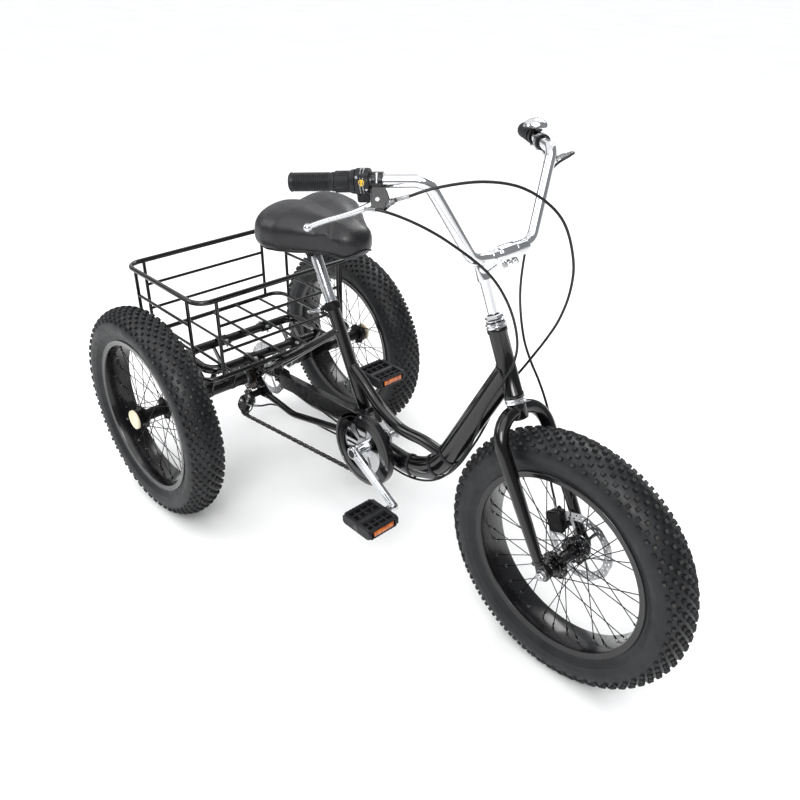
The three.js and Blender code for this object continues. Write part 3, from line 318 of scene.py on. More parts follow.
def block(low, high, bevel, corner=2.0):
    """A small box with rounded upright corners and chamfered faces."""
    (x0, y0, z0), (x1, y1, z1) = low, high
    return plate(round_corners([[x0, z0], [x1, z0], [x1, z1], [x0, z1]], corner, 4), y0, y1, bevel)


def around_circles(circles, step=6.0):
    """The line of a belt round circles [x, z, radius, turn]. A run leaves each circle where the
    line to the next one touches both."""
    headings, line = [], []
    for (x, z, r, turn), (x2, z2, r2, turn2) in zip(circles, circles[1:] + circles[:1]):
        span = math.hypot(x2 - x, z2 - z)
        headings.append(math.atan2(z2 - z, x2 - x) + math.asin((turn * r - turn2 * r2) / span))
    for i, (x, z, r, turn) in enumerate(circles):
        arriving = headings[i - 1]
        angle = ((headings[i] - arriving) * turn) % (2 * math.pi)
        steps = max(2, math.ceil(math.degrees(angle) / step))
        heading = arriving + turn * angle * np.linspace(0, 1, steps)
        reach = turn * r
        line.append(np.stack([x + reach * np.sin(heading), z - reach * np.cos(heading)], -1))
    return np.concatenate(line)


def strap(circles, low, high, bevel=0.6):
    """A plate whose outline is drawn round circles [x, z, radius]."""
    outline = around_circles([(*circle, 1) for circle in circles], step=12)
    return plate(outline, low, high, bevel)


def pierced_ring(centre, radii, turns, kept, low, high):
    """A flat ring cut from a grid of radius and angle: radii is [rings, turns], and a cell stays
    where `kept` is true. It has both faces, and a wall wherever a kept cell meets a gap."""
    rings, steps = radii.shape
    angle = np.radians(turns)[None, :]
    flat = np.stack([radii * np.sin(angle), np.zeros_like(radii), radii * np.cos(angle)], -1)
    bottom, top = flat + [0, low, 0] + centre, flat + [0, high, 0] + centre
    points = np.concatenate([bottom.reshape(-1, 3), top.reshape(-1, 3)])
    index = np.arange(rings * steps).reshape(rings, steps)
    following = np.roll(index, -1, 1)
    a, b, c, d = index[:-1], following[:-1], following[1:], index[1:]
    count = rings * steps
    faces = [np.stack([a, b, c, d], -1)[kept], np.stack([a, d, c, b], -1)[kept] + count]
    frame_ = np.zeros((rings + 1, steps), bool)
    frame_[1:-1] = kept
    across = frame_[1:] != frame_[:-1]
    faces.append(np.stack([index, following, following + count, index + count], -1)[across])
    along = kept != np.roll(kept, 1, 1)
    faces.append(np.stack([a, d, d + count, a + count], -1)[along])
    return points, faces


# ---- Pieces ----

def in_metres(place):
    """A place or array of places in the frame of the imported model."""
    return (np.asarray(place) - [HALF_BASE, 0, 0]) / 1000


def make_piece(name, body, nodes, groups, crease=35, blend=None):
    """One object from groups of a material and its skins: points go from millimetres to metres
    in the model's frame, doubles and empty faces are removed, and all faces turned outwards."""
    materials = list(dict.fromkeys(group[0] for group in groups))
    marks = []
    for material, *skins in groups:
        count = sum(len(some) for _, faces in skins for some in faces)
        marks += [materials.index(material)] * count
    points, faces = joined(*(skin for group in groups for skin in group[1:]))
    points = in_metres(points)
    mesh = bpy.data.meshes.new(name)
    mesh.from_pydata(points.tolist(), [], [face for some in faces for face in some.tolist()])
    mesh.polygons.foreach_set("material_index", marks)
    edit = bmesh.new()
    edit.from_mesh(mesh)
    bmesh.ops.remove_doubles(edit, verts=edit.verts, dist=SAME_PLACE)
    bmesh.ops.dissolve_degenerate(edit, edges=edit.edges, dist=1e-7)
    bmesh.ops.recalc_face_normals(edit, faces=edit.faces)
    edit.to_mesh(mesh)
    edit.free()
    mesh.polygons.foreach_set("use_smooth", [True] * len(mesh.polygons))
    mesh.set_sharp_from_angle(angle=math.radians(crease))
    for material in materials:
        mesh.materials.append(bpy.data.materials[material])
    piece = bpy.data.objects.new(name, mesh)
    bpy.context.scene.collection.objects.link(piece)
    if blend:
        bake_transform(piece)
    else:
        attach(piece, body)
    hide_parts(*nodes)
    return piece


def fine(node, body, groups, crease=35, blend=None):
    """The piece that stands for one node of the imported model."""
    return make_piece(f"{node}_fine", body, [node], groups, crease, blend)


# ---- Finishes ----

def linear(hex_colour):
    """sRGB hex to linear RGBA."""
    channels = [int(hex_colour[i:i + 2], 16) / 255 for i in (1, 3, 5)]
    return [c / 12.92 if c <= 0.04045 else ((c + 0.055) / 1.055) ** 2.4 for c in channels] + [1]


def linear_colour(value):
    """Hex text, a grey level or linear red, green and blue as linear RGBA."""
    if isinstance(value, str):
        return linear(value)
    return [value] * 3 + [1] if isinstance(value, float) else [*value, 1]


def add(tree, kind, settings=None, **links):
    """Adds a node. Settings starting with a capital are socket values; links join sockets."""
    node = tree.nodes.new(kind)
    for key, value in (settings or {}).items():
        if key[0].isupper():
            node.inputs[key].default_value = value
        else:
            setattr(node, key, value)
    for key, source in links.items():
        tree.links.new(source, node.inputs[key.replace("_", " ")])
    return node


def finish_of(name, tone, rough=None, relief=None, **settings):
    """A material with its patterns on the piece's own coordinates. Tone, and rough if it is
    given, are [patches per metre, one end, other end] of a slow drift. Relief is [kind of
    texture, its output, its settings, strength, height in metres]."""
    material = bpy.data.materials.new(name)
    material.use_nodes = True
    tree = material.node_tree
    shader = tree.nodes["Principled BSDF"]
    for key, value in settings.items():
        shader.inputs[key.replace("_", " ")].default_value = value
    place = add(tree, "ShaderNodeTexCoord").outputs["Object"]
    for socket, drift in (("Base Color", tone), ("Roughness", rough)):
        if drift:
            noise = add(tree, NOISE, {"Scale": drift[0], "Detail": 4}, Vector=place)
            ramp = add(tree, "ShaderNodeValToRGB", Fac=noise.outputs["Fac"])
            for stop, at, value in zip(ramp.color_ramp.elements, (0.35, 0.7), drift[1:]):
                stop.position, stop.color = at, linear_colour(value)
            tree.links.new(ramp.outputs["Color"], shader.inputs[socket])
    if relief:
        kind, output, look, strength, distance = relief
        texture = add(tree, kind, look, Vector=place)
        bump = add(tree, "ShaderNodeBump", {"Strength": strength, "Distance": distance},
            Height=texture.outputs[output])
        tree.links.new(bump.outputs["Normal"], shader.inputs["Normal"])


def painted_finishes(colours):
    """Sprayed and baked coatings."""
    # Stoved enamel on the frame: a hard clear skin with a faint orange peel of about 4 mm.
    finish_of(ENAMEL, (9, colours.paint, "#0c0c0f"), None,
        (NOISE, "Fac", {"Scale": 250.0, "Detail": 1.0}, 0.04, 0.0003), Roughness=0.16,
        Coat_Weight=0.5, Coat_Roughness=0.05, IOR=1.5)
    # Powder coat on the rims and brake brackets: deep black, with a clear topcoat's shine.
    finish_of(POWDER_COAT, (14, "#09090b", "#121216"), (40, 0.2, 0.32),
        (NOISE, "Fac", {"Scale": 900.0, "Detail": 2.0}, 0.12, 0.0002), IOR=1.5, Coat_Weight=0.5,
        Coat_Roughness=0.1)
    # Black zinc and phosphate on calipers and cages: dull, faintly brown.
    finish_of(DARK_STEEL, (60, "#161617", "#2a2827"), (120, 0.35, 0.55), Metallic=0.55)


def metal_finishes(colours):
    """Bare and plated metals. Metals keep the default IOR."""
    # Chrome plate on the bar, stem and headset: a bright mirror with faint haze.
    finish_of(CHROME, (12, colours.chrome, "#f2f3f5"), (35, 0.05, 0.13), Metallic=1.0)
    # Polished forged aluminium on cranks and levers: softer than chrome, fine buffing marks.
    finish_of(ALLOY, (25, "#c9cbce", "#e6e7e9"), (90, 0.16, 0.3),
        (NOISE, "Fac", {"Scale": 700.0, "Detail": 3.0}, 0.05, 0.0002), Metallic=1.0)
    # Zinc-plated steel on nuts, bolts, discs and nipples: bright grey, cloudy.
    finish_of(ZINC, (80, "#9b9c9e", "#cfd0d1"), (150, 0.25, 0.42), Metallic=1.0)
    # Drawn spoke wire with a dark coating that has thinned in places.
    finish_of(SPOKE_WIRE, (30, "#131315", "#2c2c31"), Metallic=0.6, Roughness=0.35)
    # Oiled chain steel: a dark brown film, bright where the rollers run.
    finish_of(CHAIN_STEEL, (160, "#1d1b1a", "#5d5852"), Metallic=0.85, Roughness=0.38)


def rubber_and_plastic_finishes(colours):
    """Moulded and coated soft goods."""
    # Tyre rubber: moulded natural rubber, charcoal with a faint bluish bloom and a soft shine.
    finish_of(RUBBER, (16, colours.rubber, "#242629"), (60, 0.42, 0.56),
        (NOISE, "Fac", {"Scale": 420.0, "Detail": 3.0}, 0.25, 0.0004), IOR=1.52)
    # Tops of the tread knobs: the same rubber, painted paler as a highlight where light falls on
    # the tops, and dusty with first wear.
    finish_of(KNOB_TOP_DUST_AND_HIGHLIGHT, (45, "#222223", "#524f4b"), None,
        (NOISE, "Fac", {"Scale": 1200.0, "Detail": 2.0}, 0.3, 0.0004), IOR=1.52, Roughness=0.8,
        Specular_IOR_Level=0.3)
    # Saddle vinyl: embossed leather grain about 1.6 mm across, with a soft sheen.
    finish_of(VINYL, (12, colours.vinyl, "#212125"), (70, 0.33, 0.44),
        ("ShaderNodeTexVoronoi", "Distance", {"Scale": 620.0, "feature": "DISTANCE_TO_EDGE"}, 0.35,
        0.0006), IOR=1.5, Coat_Weight=0.35, Coat_Roughness=0.3)
    # Glass-filled nylon and soft PVC on pedals, grips and housings: fine spark-eroded texture.
    finish_of(PLASTIC, (30, colours.plastic, "#26262a"), (200, 0.4, 0.55),
        (NOISE, "Fac", {"Scale": 1500.0, "Detail": 2.0}, 0.2, 0.0003), IOR=1.5)
    # Gloss ABS on the chain guard: smooth, slightly soft highlights.
    finish_of(GLOSS_PLASTIC, (20, "#0c0c0e", "#17171a"), (80, 0.16, 0.28), IOR=1.54,
        Coat_Weight=0.4, Coat_Roughness=0.1)
    # PVC cable sleeve: smooth black with a dull shine.
    finish_of(CABLE_SLEEVE, (50, "#0e0e10", "#1c1c1f"), (90, 0.28, 0.4), IOR=1.53)
    # Polypropylene hub cap, a little yellowed.
    finish_of("cream_polypropylene", (25, colours.hub_cap, "#f1ead3"), IOR=1.49, Roughness=0.42,
        Subsurface_Weight=0.05)
    # Acrylic reflector: prism cells 2 mm across behind a clear face.
    finish_of("amber_acrylic_reflector", (90, "#a33a05", colours.reflector), None,
        ("ShaderNodeTexVoronoi", "Distance", {"Scale": 450.0}, 0.7, 0.001), IOR=1.49,
        Roughness=0.12, Coat_Weight=1.0, Coat_Roughness=0.03)
    # Yellow acrylic gear window.
    finish_of("yellow_indicator", (120, "#c79a06", "#f2cf22"), IOR=1.49, Roughness=0.25,
        Coat_Weight=0.6)


# ---- Lines of the frame ----

def on_steering(distance):
    return HEAD_BOTTOM + distance * STEER_AXIS


def on_seat_tube(distance):
    return CRANK_AXIS * [1, 0, 1] + distance * SEAT_AXIS


HEAD_LENGTH = 144.0
STEER_LOCAL = np.array([[STEER_AXIS[2], 0, -STEER_AXIS[0]], Y, STEER_AXIS])
MAIN_CORNERS = np.array([on_steering(0.37 * HEAD_LENGTH), CRANK_AXIS * [1, 0, 1] + [196, 0, -9],
    CRANK_AXIS * [1, 0, 1] + [0, 0, -5]])
BAR_CLAMP = on_steering(290) * [1, 0, 1] + [65, 0, 22]
BAR_END = np.array([-222.5, 313, 142])
BAR_KNEE = np.array([-42, 170, 156])
LEVER_SWING = math.radians(56)


def beside_main_tube(places):
    """Places [share of the straight run or step of the bend, Y, distance below the tube's centre
    line]: shares up to 1 lie on the straight, 1 to 8 on the bend's arc, as in the tube itself."""
    stations = bent_path(MAIN_CORNERS, 175, 8)
    index = np.arange(len(stations))
    where = np.array(places, float)
    point = np.stack([np.interp(where[:, 0], index, stations[:, k]) for k in range(3)], -1)
    ahead = np.stack([np.interp(np.minimum(where[:, 0] + 0.3, 9), index, stations[:, k])
        for k in range(3)], -1)
    along = unit(ahead - point)
    below = np.stack([-along[:, 2], 0 * along[:, 0], along[:, 0]], -1)
    return point * [1, 0, 1] + below * where[:, 2:] + Y * where[:, 1:2]


def bar_end_axes(side):
    """The bar end and the directions inwards along the bar, across it, and up."""
    end, knee = BAR_CLAMP + BAR_END * [1, side, 1], BAR_CLAMP + BAR_KNEE * [1, side, 1]
    inwards = unit(knee - end)
    across = unit(np.cross(Z, inwards))
    return end, np.array([inwards, across, np.cross(inwards, across)])


def lever_axes(side):
    """The same, turned about the bar until the second direction hangs down and outwards."""
    end, (inwards, across, up) = bar_end_axes(side)
    swing = math.pi + LEVER_SWING if side < 0 else -LEVER_SWING
    hanging = math.cos(swing) * across + math.sin(swing) * up
    return end, np.array([inwards, hanging, np.cross(inwards, hanging)])


SEAT_LOCAL = np.array([[SEAT_AXIS[2], 0, -SEAT_AXIS[0]], Y, SEAT_AXIS])
SHELL = CRANK_AXIS * [1, 0, 1]
REAR_CENTRE = np.array([0, 0, AXLE_HEIGHT])
FRONT_CENTRE = np.array([WHEELBASE, 0, AXLE_HEIGHT])
CRANK_LENGTH = math.hypot(*(pivot("right_pedal_spin") - CRANK_AXIS)[[0, 2]])
CRANK_LOCAL = unit((pivot("right_pedal_spin") - CRANK_AXIS) * [1, 0, 1])
CRANK_LOCAL = np.array([CRANK_LOCAL, Y, np.cross(CRANK_LOCAL, Y)])
GUIDE = pivot("guide_pulley_spin") * [1, 0, 1]
TENSION = pivot("tension_pulley_spin") * [1, 0, 1]
SEAT_TOP = on_seat_tube(368)
SADDLE_TAIL, SADDLE_BASE, SADDLE_LENGTH = 192.0, 762.0, 275.0


def ball(centre, radius, steps):
    """A sphere: half a circle turned about a line through its ends."""
    turn = np.linspace(0, np.pi, steps // 2 + 1)
    return lathe(np.asarray(centre, float), Z, np.stack([radius * np.sin(turn),
        -radius * np.cos(turn)], -1), steps, loop=False)


def polar(radius, degrees, y=0.0):
    """Places round an axle: the turn runs from straight up towards the front."""
    turn = np.radians(degrees)
    return np.stack(np.broadcast_arrays(radius * np.sin(turn), y, radius * np.cos(turn)), -1)


def bead(centre, direction, radius, size):
    """A ring of weld round a tube: a small circle turned about the tube's line."""
    turn = np.linspace(0, 2 * np.pi, 8, endpoint=False)
    return lathe(np.asarray(centre, float), direction, np.stack([radius + size * np.cos(turn),
        1.4 * size * np.sin(turn)], -1), 48)


def weld(start, heading, half_width, half_height, line_point, line, radius, size=2.6):
    """A rippled weld where an oval tube meets a round one. Each place on the oval is carried
    along the tube to the nearer root of: distance from the round tube's line = its radius."""
    heading, line = unit(np.asarray(heading, float)), unit(np.asarray(line, float))
    ring = ellipse(half_width, half_height, 64)
    up = np.cross(heading, Y)
    points = start + ring[:, :1] * Y + ring[:, 1:] * up
    off = (points - line_point) - ((points - line_point) @ line)[:, None] * line
    slant = heading - heading.dot(line) * line
    a, b = slant.dot(slant), off @ slant
    c = (off ** 2).sum(-1) - radius ** 2
    root = (-b + np.sqrt(np.maximum(b * b - a * c, 0))) / a
    path = points + root[:, None] * heading
    ripple = size * (1 + 0.14 * np.cos(np.arange(64) * np.pi / 2))
    return sweep(path, ellipse(1, 1, 8)[None] * ripple[:, None, None], closed=True)


# ---- Wheels ----

def casing_point(turn, lift=0.0):
    """The tyre's section as [radius, distance across]: an oval 96 mm wide whose upper half is
    39 mm high and lower half 44 mm, with turn 0 at the crown, raised along its normal by lift."""
    angle = np.radians(turn)
    height = np.where(np.abs(turn) < 90, 39.0, 44.0)
    radius = TYRE_CASING - 39 + (height + lift) * np.cos(angle)
    return np.stack(np.broadcast_arrays(radius, (48 + lift) * np.sin(angle)), -1)


def tyre_casing(centre):
    """The casing's oval turned about the axle, with two raised rings on each side wall."""
    turn = np.linspace(-130, 130, 105)
    lift = (0.9 * np.exp(-((np.abs(turn) - 113) / 2.2) ** 2)
        + 0.7 * np.exp(-((np.abs(turn) - 96) / 1.4) ** 2))
    outer = casing_point(turn, lift)
    inner = casing_point(np.linspace(122, -122, 25), -5.0)
    profile = np.concatenate([[[201, -33.5]], outer, [[201, 33.5], [201, 29]], inner,
        [[201, -29]]])
    return lathe(centre, Y, profile, 144)


def tread_knobs(centre, rows, height, turns, phase, size):
    """Tapered blocks standing on the casing at the given turns across it and `rows` places round
    it. Returns their sides and their tops."""
    across, along = size
    low = np.array([[-1, -1], [1, -1], [1, 1], [-1, 1]]) * [across / 2, along / 2]
    levels = [(low * 1.12, -1.8), (low, height - 0.9), (low - np.sign(low) * 0.8, height)]
    points = np.concatenate([np.c_[flat, np.full(4, z)] for flat, z in levels])
    sides = (points, [grid_faces(3, 4), np.array([[0, 1, 2, 3]])])
    top = (points[8:], [np.array([[0, 1, 2, 3]])])
    turn, round_ = (grid.ravel() for grid in np.meshgrid(turns,
        np.arange(rows) * 360 / rows + phase * 360 / rows))
    section = casing_point(turn)
    radial, ahead = polar(1, round_), polar(1, round_ + 90)
    lean = np.radians(turn)[:, None]
    up = np.cos(lean) * radial + np.sin(lean) * Y
    over = np.cos(lean) * Y - np.sin(lean) * radial
    origins = centre + section[:, :1] * radial + section[:, 1:] * Y
    axes = np.stack([over, ahead, up], 1)
    return copies(sides, origins, axes), copies(top, origins, axes)


def tyre(centre, details):
    sets = [tread_knobs(centre, details.tread_rows, details.knob_height * 1000,
        [-52, -26, 0, 26, 52], 0.0, (7.4, 8.4)), tread_knobs(centre, details.tread_rows,
        details.knob_height * 1000, [-39, -13, 13, 39], 0.5, (7.4, 8.4)),
        tread_knobs(centre, details.tread_rows, details.knob_height * 900, [-64, 64], 0.5,
        (6.8, 8.0))]
    # The knob tops take the paler finish: a painted highlight on the tops, with dust.
    return ([(RUBBER, tyre_casing(centre))] + [(RUBBER, sides) for sides, _ in sets]
        + [(KNOB_TOP_DUST_AND_HIGHLIGHT, top) for _, top in sets])


def rim(centre):
    """A wide channel turned about the axle, with rolled lips and a soft-cornered well."""
    outer = [[RIM_LIP, 36.4], [RIM_LIP - 0.8, 37.6], [RIM_LIP - 2.4, 37.2], [RIM_LIP - 3.4, 36.8],
        [200, 36.9], [197.4, 36], [196.2, 34], [195.8, 22], [194.7, 19]]
    inner = [[197.6, 33], [199.4, 34.2], [RIM_LIP - 1.6, 34.9]]
    half = np.array(outer)
    under = np.array(inner)
    profile = np.concatenate([half, half[::-1] * [1, -1], under[::-1] * [1, -1], under])
    lips = [washer(centre, Y, RIM_LIP + 0.5, RIM_LIP - 1.5, side * 36.3 - 1, side * 36.3 + 1, 0.5,
        120) for side in (-1, 1)]
    return [(POWDER_COAT, lathe(centre, Y, profile, 144)), (POWDER_COAT, *lips)]


def spokes(centre, flanges):
    """36 crossing spokes: spoke i leaves the hub at 10 i degrees and meets the rim 60 degrees on,
    forwards and backwards by turns, with its head at the hub and its nipple at the rim."""
    number = np.arange(36)
    layer = np.where(number % 4 < 2, 1, -1)
    side = np.array(flanges)[number % 2]
    hub_end = centre + polar(26.5, 10.0 * number, side + 3.2 * layer)
    rim_end = centre + polar(195, 10.0 * number + 60 * layer, 4 * np.sign(side) + 1.6 * layer)
    back = unit(hub_end - rim_end)
    inside = hub_end - np.stack([0 * layer, 6.0 * layer, 0 * layer], -1)
    return [(SPOKE_WIRE, rods(hub_end, rim_end, 1.0)), (SPOKE_WIRE, rods(hub_end, inside, 1.2)),
        (SPOKE_WIRE, rods(rim_end, rim_end + 12 * back, 1.9)),
        (ZINC, rods(rim_end, rim_end + 3.5 * back, 3.2, 8))]


def flange(centre, y):
    """A hub flange: a ring with nine notches in its edge and nine windows."""
    turns = np.arange(0, 360, 3.0)
    wave = np.cos(np.radians(9 * turns))
    radii = np.stack([turns * 0 + 14, turns * 0 + 18.5, turns * 0 + 24.5,
        31 - 3.6 * np.clip(wave * 3 - 1.4, 0, 1)])
    kept = np.ones((3, len(turns)), bool)
    kept[1] = wave < 0.5
    return pierced_ring(centre, radii, turns, kept, y - 2, y + 2)


def front_hub():
    body = lathe(FRONT_CENTRE, Y, [[5.4, -54], [12.4, -54], [13, -53.2], [13, -45], [17, -44],
        [17, -38], [20, -37], [20, -33], [15, -29], [14, -20], [14, 22], [16, 31], [20, 36],
        [21.4, 37], [22, 38], [22, 53.2], [21, 54], [5.4, 54]], 48)
    return [(ENAMEL, body, flange(FRONT_CENTRE, -31), flange(FRONT_CENTRE, 34))]


def rear_hub(centre, side):
    body = lathe(centre, Y * side, [[9, -50], [13, -50], [14, -49], [14, -35], [17, -33],
        [17, -29], [15, -22], [15, 22], [17, 29], [17, 33], [18.4, 35], [18.4, 51], [9, 51]], 48)
    cap = lathe(centre, Y * side, [[0, 52], [24.5, 52], [26, 53], [26, 57.6], [25, 59.2],
        [22.6, 60], [21.6, 59.2], [18.4, 59.4], [8, 60], [0, 60]], 48, loop=False)
    return [(DARK_STEEL, body, flange(centre, -31.5), flange(centre, 31.5)),
        ("cream_polypropylene", cap)]


def rotor(centre, low, hole):
    """A disc drawn on a grid of radius and turn: its edge is a wave, six windows leave six arms,
    and two rows of slots run round the band the pads touch."""
    turns = np.arange(0, 360, 1.5)
    rings = [hole, 22, 27, 60, 63.5, 67, 70.5, 74, 79 + np.cos(np.radians(12 * turns))]
    radii = np.stack([turns * 0 + ring for ring in rings])
    kept = np.ones((8, len(turns)), bool)
    kept[2] = np.abs(turns % 60 - 30) < 4
    kept[4] = turns % 12 > 4
    kept[6] = (turns + 6) % 12 > 4
    bolts = [hexagon(centre + polar(17.5, 60 * k + 30), Y, 7, low + 2, low + 4.6)
        for k in range(6)]
    return [(ZINC, pierced_ring(centre, radii, turns, kept, low, low + 2)), (DARK_STEEL, *bolts)]


def front_axle():
    ends = []
    discs = []
    for side in (-1, 1):
        way = Y * side
        ends += [washer(FRONT_CENTRE, way, 4.9, 0.1, 57.5, 86, 0.8, 24),
            hexagon(FRONT_CENTRE, way, 18, 75.6, 84),
            washer(FRONT_CENTRE, way, 12, 4.5, 74.1, 75.7, 0.4)]
        stack = [(7.8, 57.2, 67.5)] if side > 0 else [(15, 56.2, 58.6), (12.4, 58.9, 61.2),
            (15.6, 61.5, 64.4), (10.5, 64.6, 67.5)]
        discs += [washer(FRONT_CENTRE, way, radius, 4.5, low, high, 0.5)
            for radius, low, high in stack]
    shaft = tube(FRONT_CENTRE - 57 * Y, FRONT_CENTRE + 57 * Y, 4.6)
    return [(ZINC, shaft, *ends), (DARK_STEEL, *discs)]


def rear_axle():
    """The live axle: one shaft with a seat for the freewheel and a flange for the disc."""
    return [(ZINC, lathe(REAR_CENTRE, Y, [[0, -393], [7.5, -393], [8.5, -392], [8.5, -49.4],
        [15.6, -49.4], [15.6, -31], [8.5, -31], [8.5, 18], [12, 20], [21.4, 22], [22, 22.6],
        [22, 27], [8.5, 27], [8.5, 392], [7.5, 393], [0, 393]], 40, loop=False))]


def toothed(centre, teeth, phase, bands, y, half, window=None):
    """A toothed plate: its edge lies at the pitch radius plus 3.4 mm times a steep cosine of the
    turn times the number of teeth. Bands are the radii inside, and window says which cells go."""
    turns = np.arange(teeth * 8) * 360 / (teeth * 8) + phase
    pitch = CHAIN_PITCH * teeth / (2 * math.pi)
    edge = pitch - 0.6 + 3.4 * np.clip(-1.5 * np.cos(np.radians(teeth * (turns - phase))), -1, 1)
    radii = np.stack([turns * 0 + band for band in bands] + [edge])
    kept = np.ones((len(bands), len(turns)), bool)
    if window:
        kept = window(turns, kept)
    return pierced_ring(centre, radii, turns, kept, y - half, y + half)


def chain_line():
    """Places of the chain's pins: the belt line round the four wheels cut into an even number of
    links as near 12.7 mm as the line allows."""
    pitch = CHAIN_PITCH / (2 * math.pi)
    circles = [(SHELL[0], SHELL[2], CHAINRING_TEETH * pitch, 1),
        (0, AXLE_HEIGHT, COG_TEETH * pitch, 1), (GUIDE[0], GUIDE[2], PULLEY_TEETH * pitch, -1),
        (TENSION[0], TENSION[2], PULLEY_TEETH * pitch, 1)]
    line = around_circles(circles)
    closed = np.concatenate([line, line[:1]])
    length = np.linalg.norm(np.diff(closed, axis=0), axis=1).sum()
    links = 2 * round(length / CHAIN_PITCH / 2)
    return even_path(closed, length / links)[:-1]


def roller_turn(pins, centre, towards):
    """The turn, about a wheel's centre, of the chain pin that lies nearest a given direction."""
    away = pins - [centre[0], centre[2]]
    near = np.hypot(*away.T) < np.hypot(*away.T).min() + 1.5
    turns = np.degrees(np.arctan2(away[:, 0], away[:, 1]))[near]
    gap = np.abs((turns - towards + 180) % 360 - 180)
    return turns[gap.argmin()]


def chain(pins, chosen):
    """The links at the chosen pins. Each is two plates, their outline a waisted oval, outside or
    inside by turns, and a roller turns on each pin."""
    following = np.roll(pins, -1, 0)
    ahead = unit(following - pins)
    axes = np.zeros((len(pins), 3, 3))
    axes[:, 0, 0], axes[:, 0, 2] = ahead.T
    axes[:, 1] = Y
    axes[:, 2, 0], axes[:, 2, 2] = -ahead[:, 1], ahead[:, 0]
    origins = np.stack([pins[:, 0], np.full(len(pins), CHAIN_LINE), pins[:, 1]], -1)
    turn = np.radians([0, 60, 120, 180])
    end = np.stack([4.1 * np.sin(turn), -4.1 * np.cos(turn)], -1)
    outline = np.concatenate([end + [CHAIN_PITCH, 0], [[CHAIN_PITCH / 2, 2.9]], -end,
        [[CHAIN_PITCH / 2, -2.9]]])
    parts = []
    for start, inner in ((0, 2.5), (1, 3.7)):
        pair = joined(plate(outline, inner, inner + 1, 0.25),
            mirrored(plate(outline, inner, inner + 1, 0.25)))
        kind = chosen[chosen % 2 == start]
        parts.append((CHAIN_STEEL, copies(pair, origins[kind], axes[kind])))
    held = origins[chosen]
    parts.append((ZINC, rods(held - 2.4 * Y, held + 2.4 * Y, 3.6, 8)))
    parts.append((ZINC, rods(held - 5.3 * Y, held + 5.3 * Y, 1.6, 6)))
    return parts


def chainring(pins):
    phase = roller_turn(pins, SHELL, 60)

    def window(turns, kept):
        arm = np.abs((turns - phase) % 72 - 36) < 11
        kept[1:3] &= arm
        return kept

    ring = toothed(SHELL, CHAINRING_TEETH, phase, [9, 26, 50, 72, 78], CHAIN_LINE, 1.9, window)
    boss = washer(SHELL, Y, 16.5, 9, -65.6, CHAIN_LINE, 1)
    bolts = [hexagon(SHELL + polar(75, phase + 72 * k + 36), -Y, 9, -CHAIN_LINE + 1.8,
        -CHAIN_LINE + 4) for k in range(5)]
    return [(ALLOY, ring, boss), (ZINC, *bolts)]


def freewheel(pins):
    phase = roller_turn(pins, REAR_CENTRE, -90)
    cog = toothed(REAR_CENTRE, COG_TEETH, phase, [16.4, 30], CHAIN_LINE, 1.9)
    body = washer(REAR_CENTRE, Y, 24, 16.4, CHAIN_LINE - 9, CHAIN_LINE + 7, 1.2)
    turns = np.arange(0, 360, 6.0)
    splines = np.stack([turns * 0 + 16.4, 19 + 0.9 * np.sign(np.cos(np.radians(turns * 10)))])
    lock = pierced_ring(REAR_CENTRE, splines, turns, np.ones((1, 60), bool), CHAIN_LINE - 11,
        CHAIN_LINE - 8.5)
    return [(CHAIN_STEEL, cog, body), (ZINC, lock)]


def pulley(centre, pins, towards):
    phase = roller_turn(pins, centre, towards)
    wheel = toothed(centre, PULLEY_TEETH, phase, [4.4, 11], CHAIN_LINE, 1.9)
    return [(PLASTIC, wheel, washer(centre, Y, 8, 4.4, -45.6, -31.9, 0.6, 24)),
        (ZINC, washer(centre, Y, 7, 4.4, -45.9, -45.2, 0.2, 24))]


# ---- Rear carriage and basket ----

def rounded_loop(front, rear, half_width, height, bend, radius, sides):
    corners = [[front, half_width, height], [rear, half_width, height],
        [rear, -half_width, height], [front, -half_width, height]]
    return sweep(bent_path(corners, bend, 10, closed=True), ellipse(radius, radius, sides), Z,
        closed=True)


def carriage():
    loop_height = AXLE_HEIGHT + 88
    outline = [[-86, loop_height], [-16, AXLE_HEIGHT], [16, AXLE_HEIGHT], [58, loop_height],
        [42, loop_height], [6, AXLE_HEIGHT + 30], [-12, AXLE_HEIGHT + 30], [-70, loop_height]]
    hangers = (-172, -100, 130, 172)
    plates = [plate(outline, y - 2.5, y + 2.5, 0.8) for y in hangers]
    housings, beads = [], []
    for low, high in ((-286, -58), (100, 286)):
        housings.append(lathe(REAR_CENTRE, Y, [[13.2, low], [17, low], [17.5, low + 0.5],
            [17.5, high - 0.5], [17, high], [13.2, high]], 40))
        for y in (low, high):
            inset = 3 if y == low else -3
            housings.append(washer(REAR_CENTRE, Y, 19.4, 17, min(y, y + 4 * inset),
                max(y, y + 4 * inset), 0.8, 40))
        beads += [bead(REAR_CENTRE + [0, y + side * 2.6, 0], Y, 17.4, 1.8) for y in hangers
            if low < y < high for side in (-1, 1)]
    for y in hangers:
        for x in (-78, 50):
            path = [[x - 9, y + 3, loop_height - 11], [x, y + 3.4, loop_height - 12.6],
                [x + 9, y + 3, loop_height - 11]]
            beads.append(sweep(smooth_path(path), ellipse(2, 2, 8)))
    loop = rounded_loop(58, -86, 190, loop_height, 45, 12.5, 20)
    clamps, bolts = [], []
    for y in (-60, 80):
        for x in (-86, 58):
            clamps.append(washer([x, y, loop_height], Y, 14.6, 12.4, -11, 11, 0.8, 32))
            for way in (-1, 1):
                clamps.append(block([x + way * 19 - 7, y - 11, loop_height - 3],
                    [x + way * 19 + 7, y + 11, loop_height + 3], 0.8))
                bolts.append(hexagon([x + way * 19, y, loop_height], Z, 10, 3, 9))
                bolts.append(tube([x + way * 19, y, loop_height - 12],
                    [x + way * 19, y, loop_height + 6], 3, 10))
    return [(ENAMEL, loop, *plates, *housings, *beads), (DARK_STEEL, *clamps), (ZINC, *bolts)]


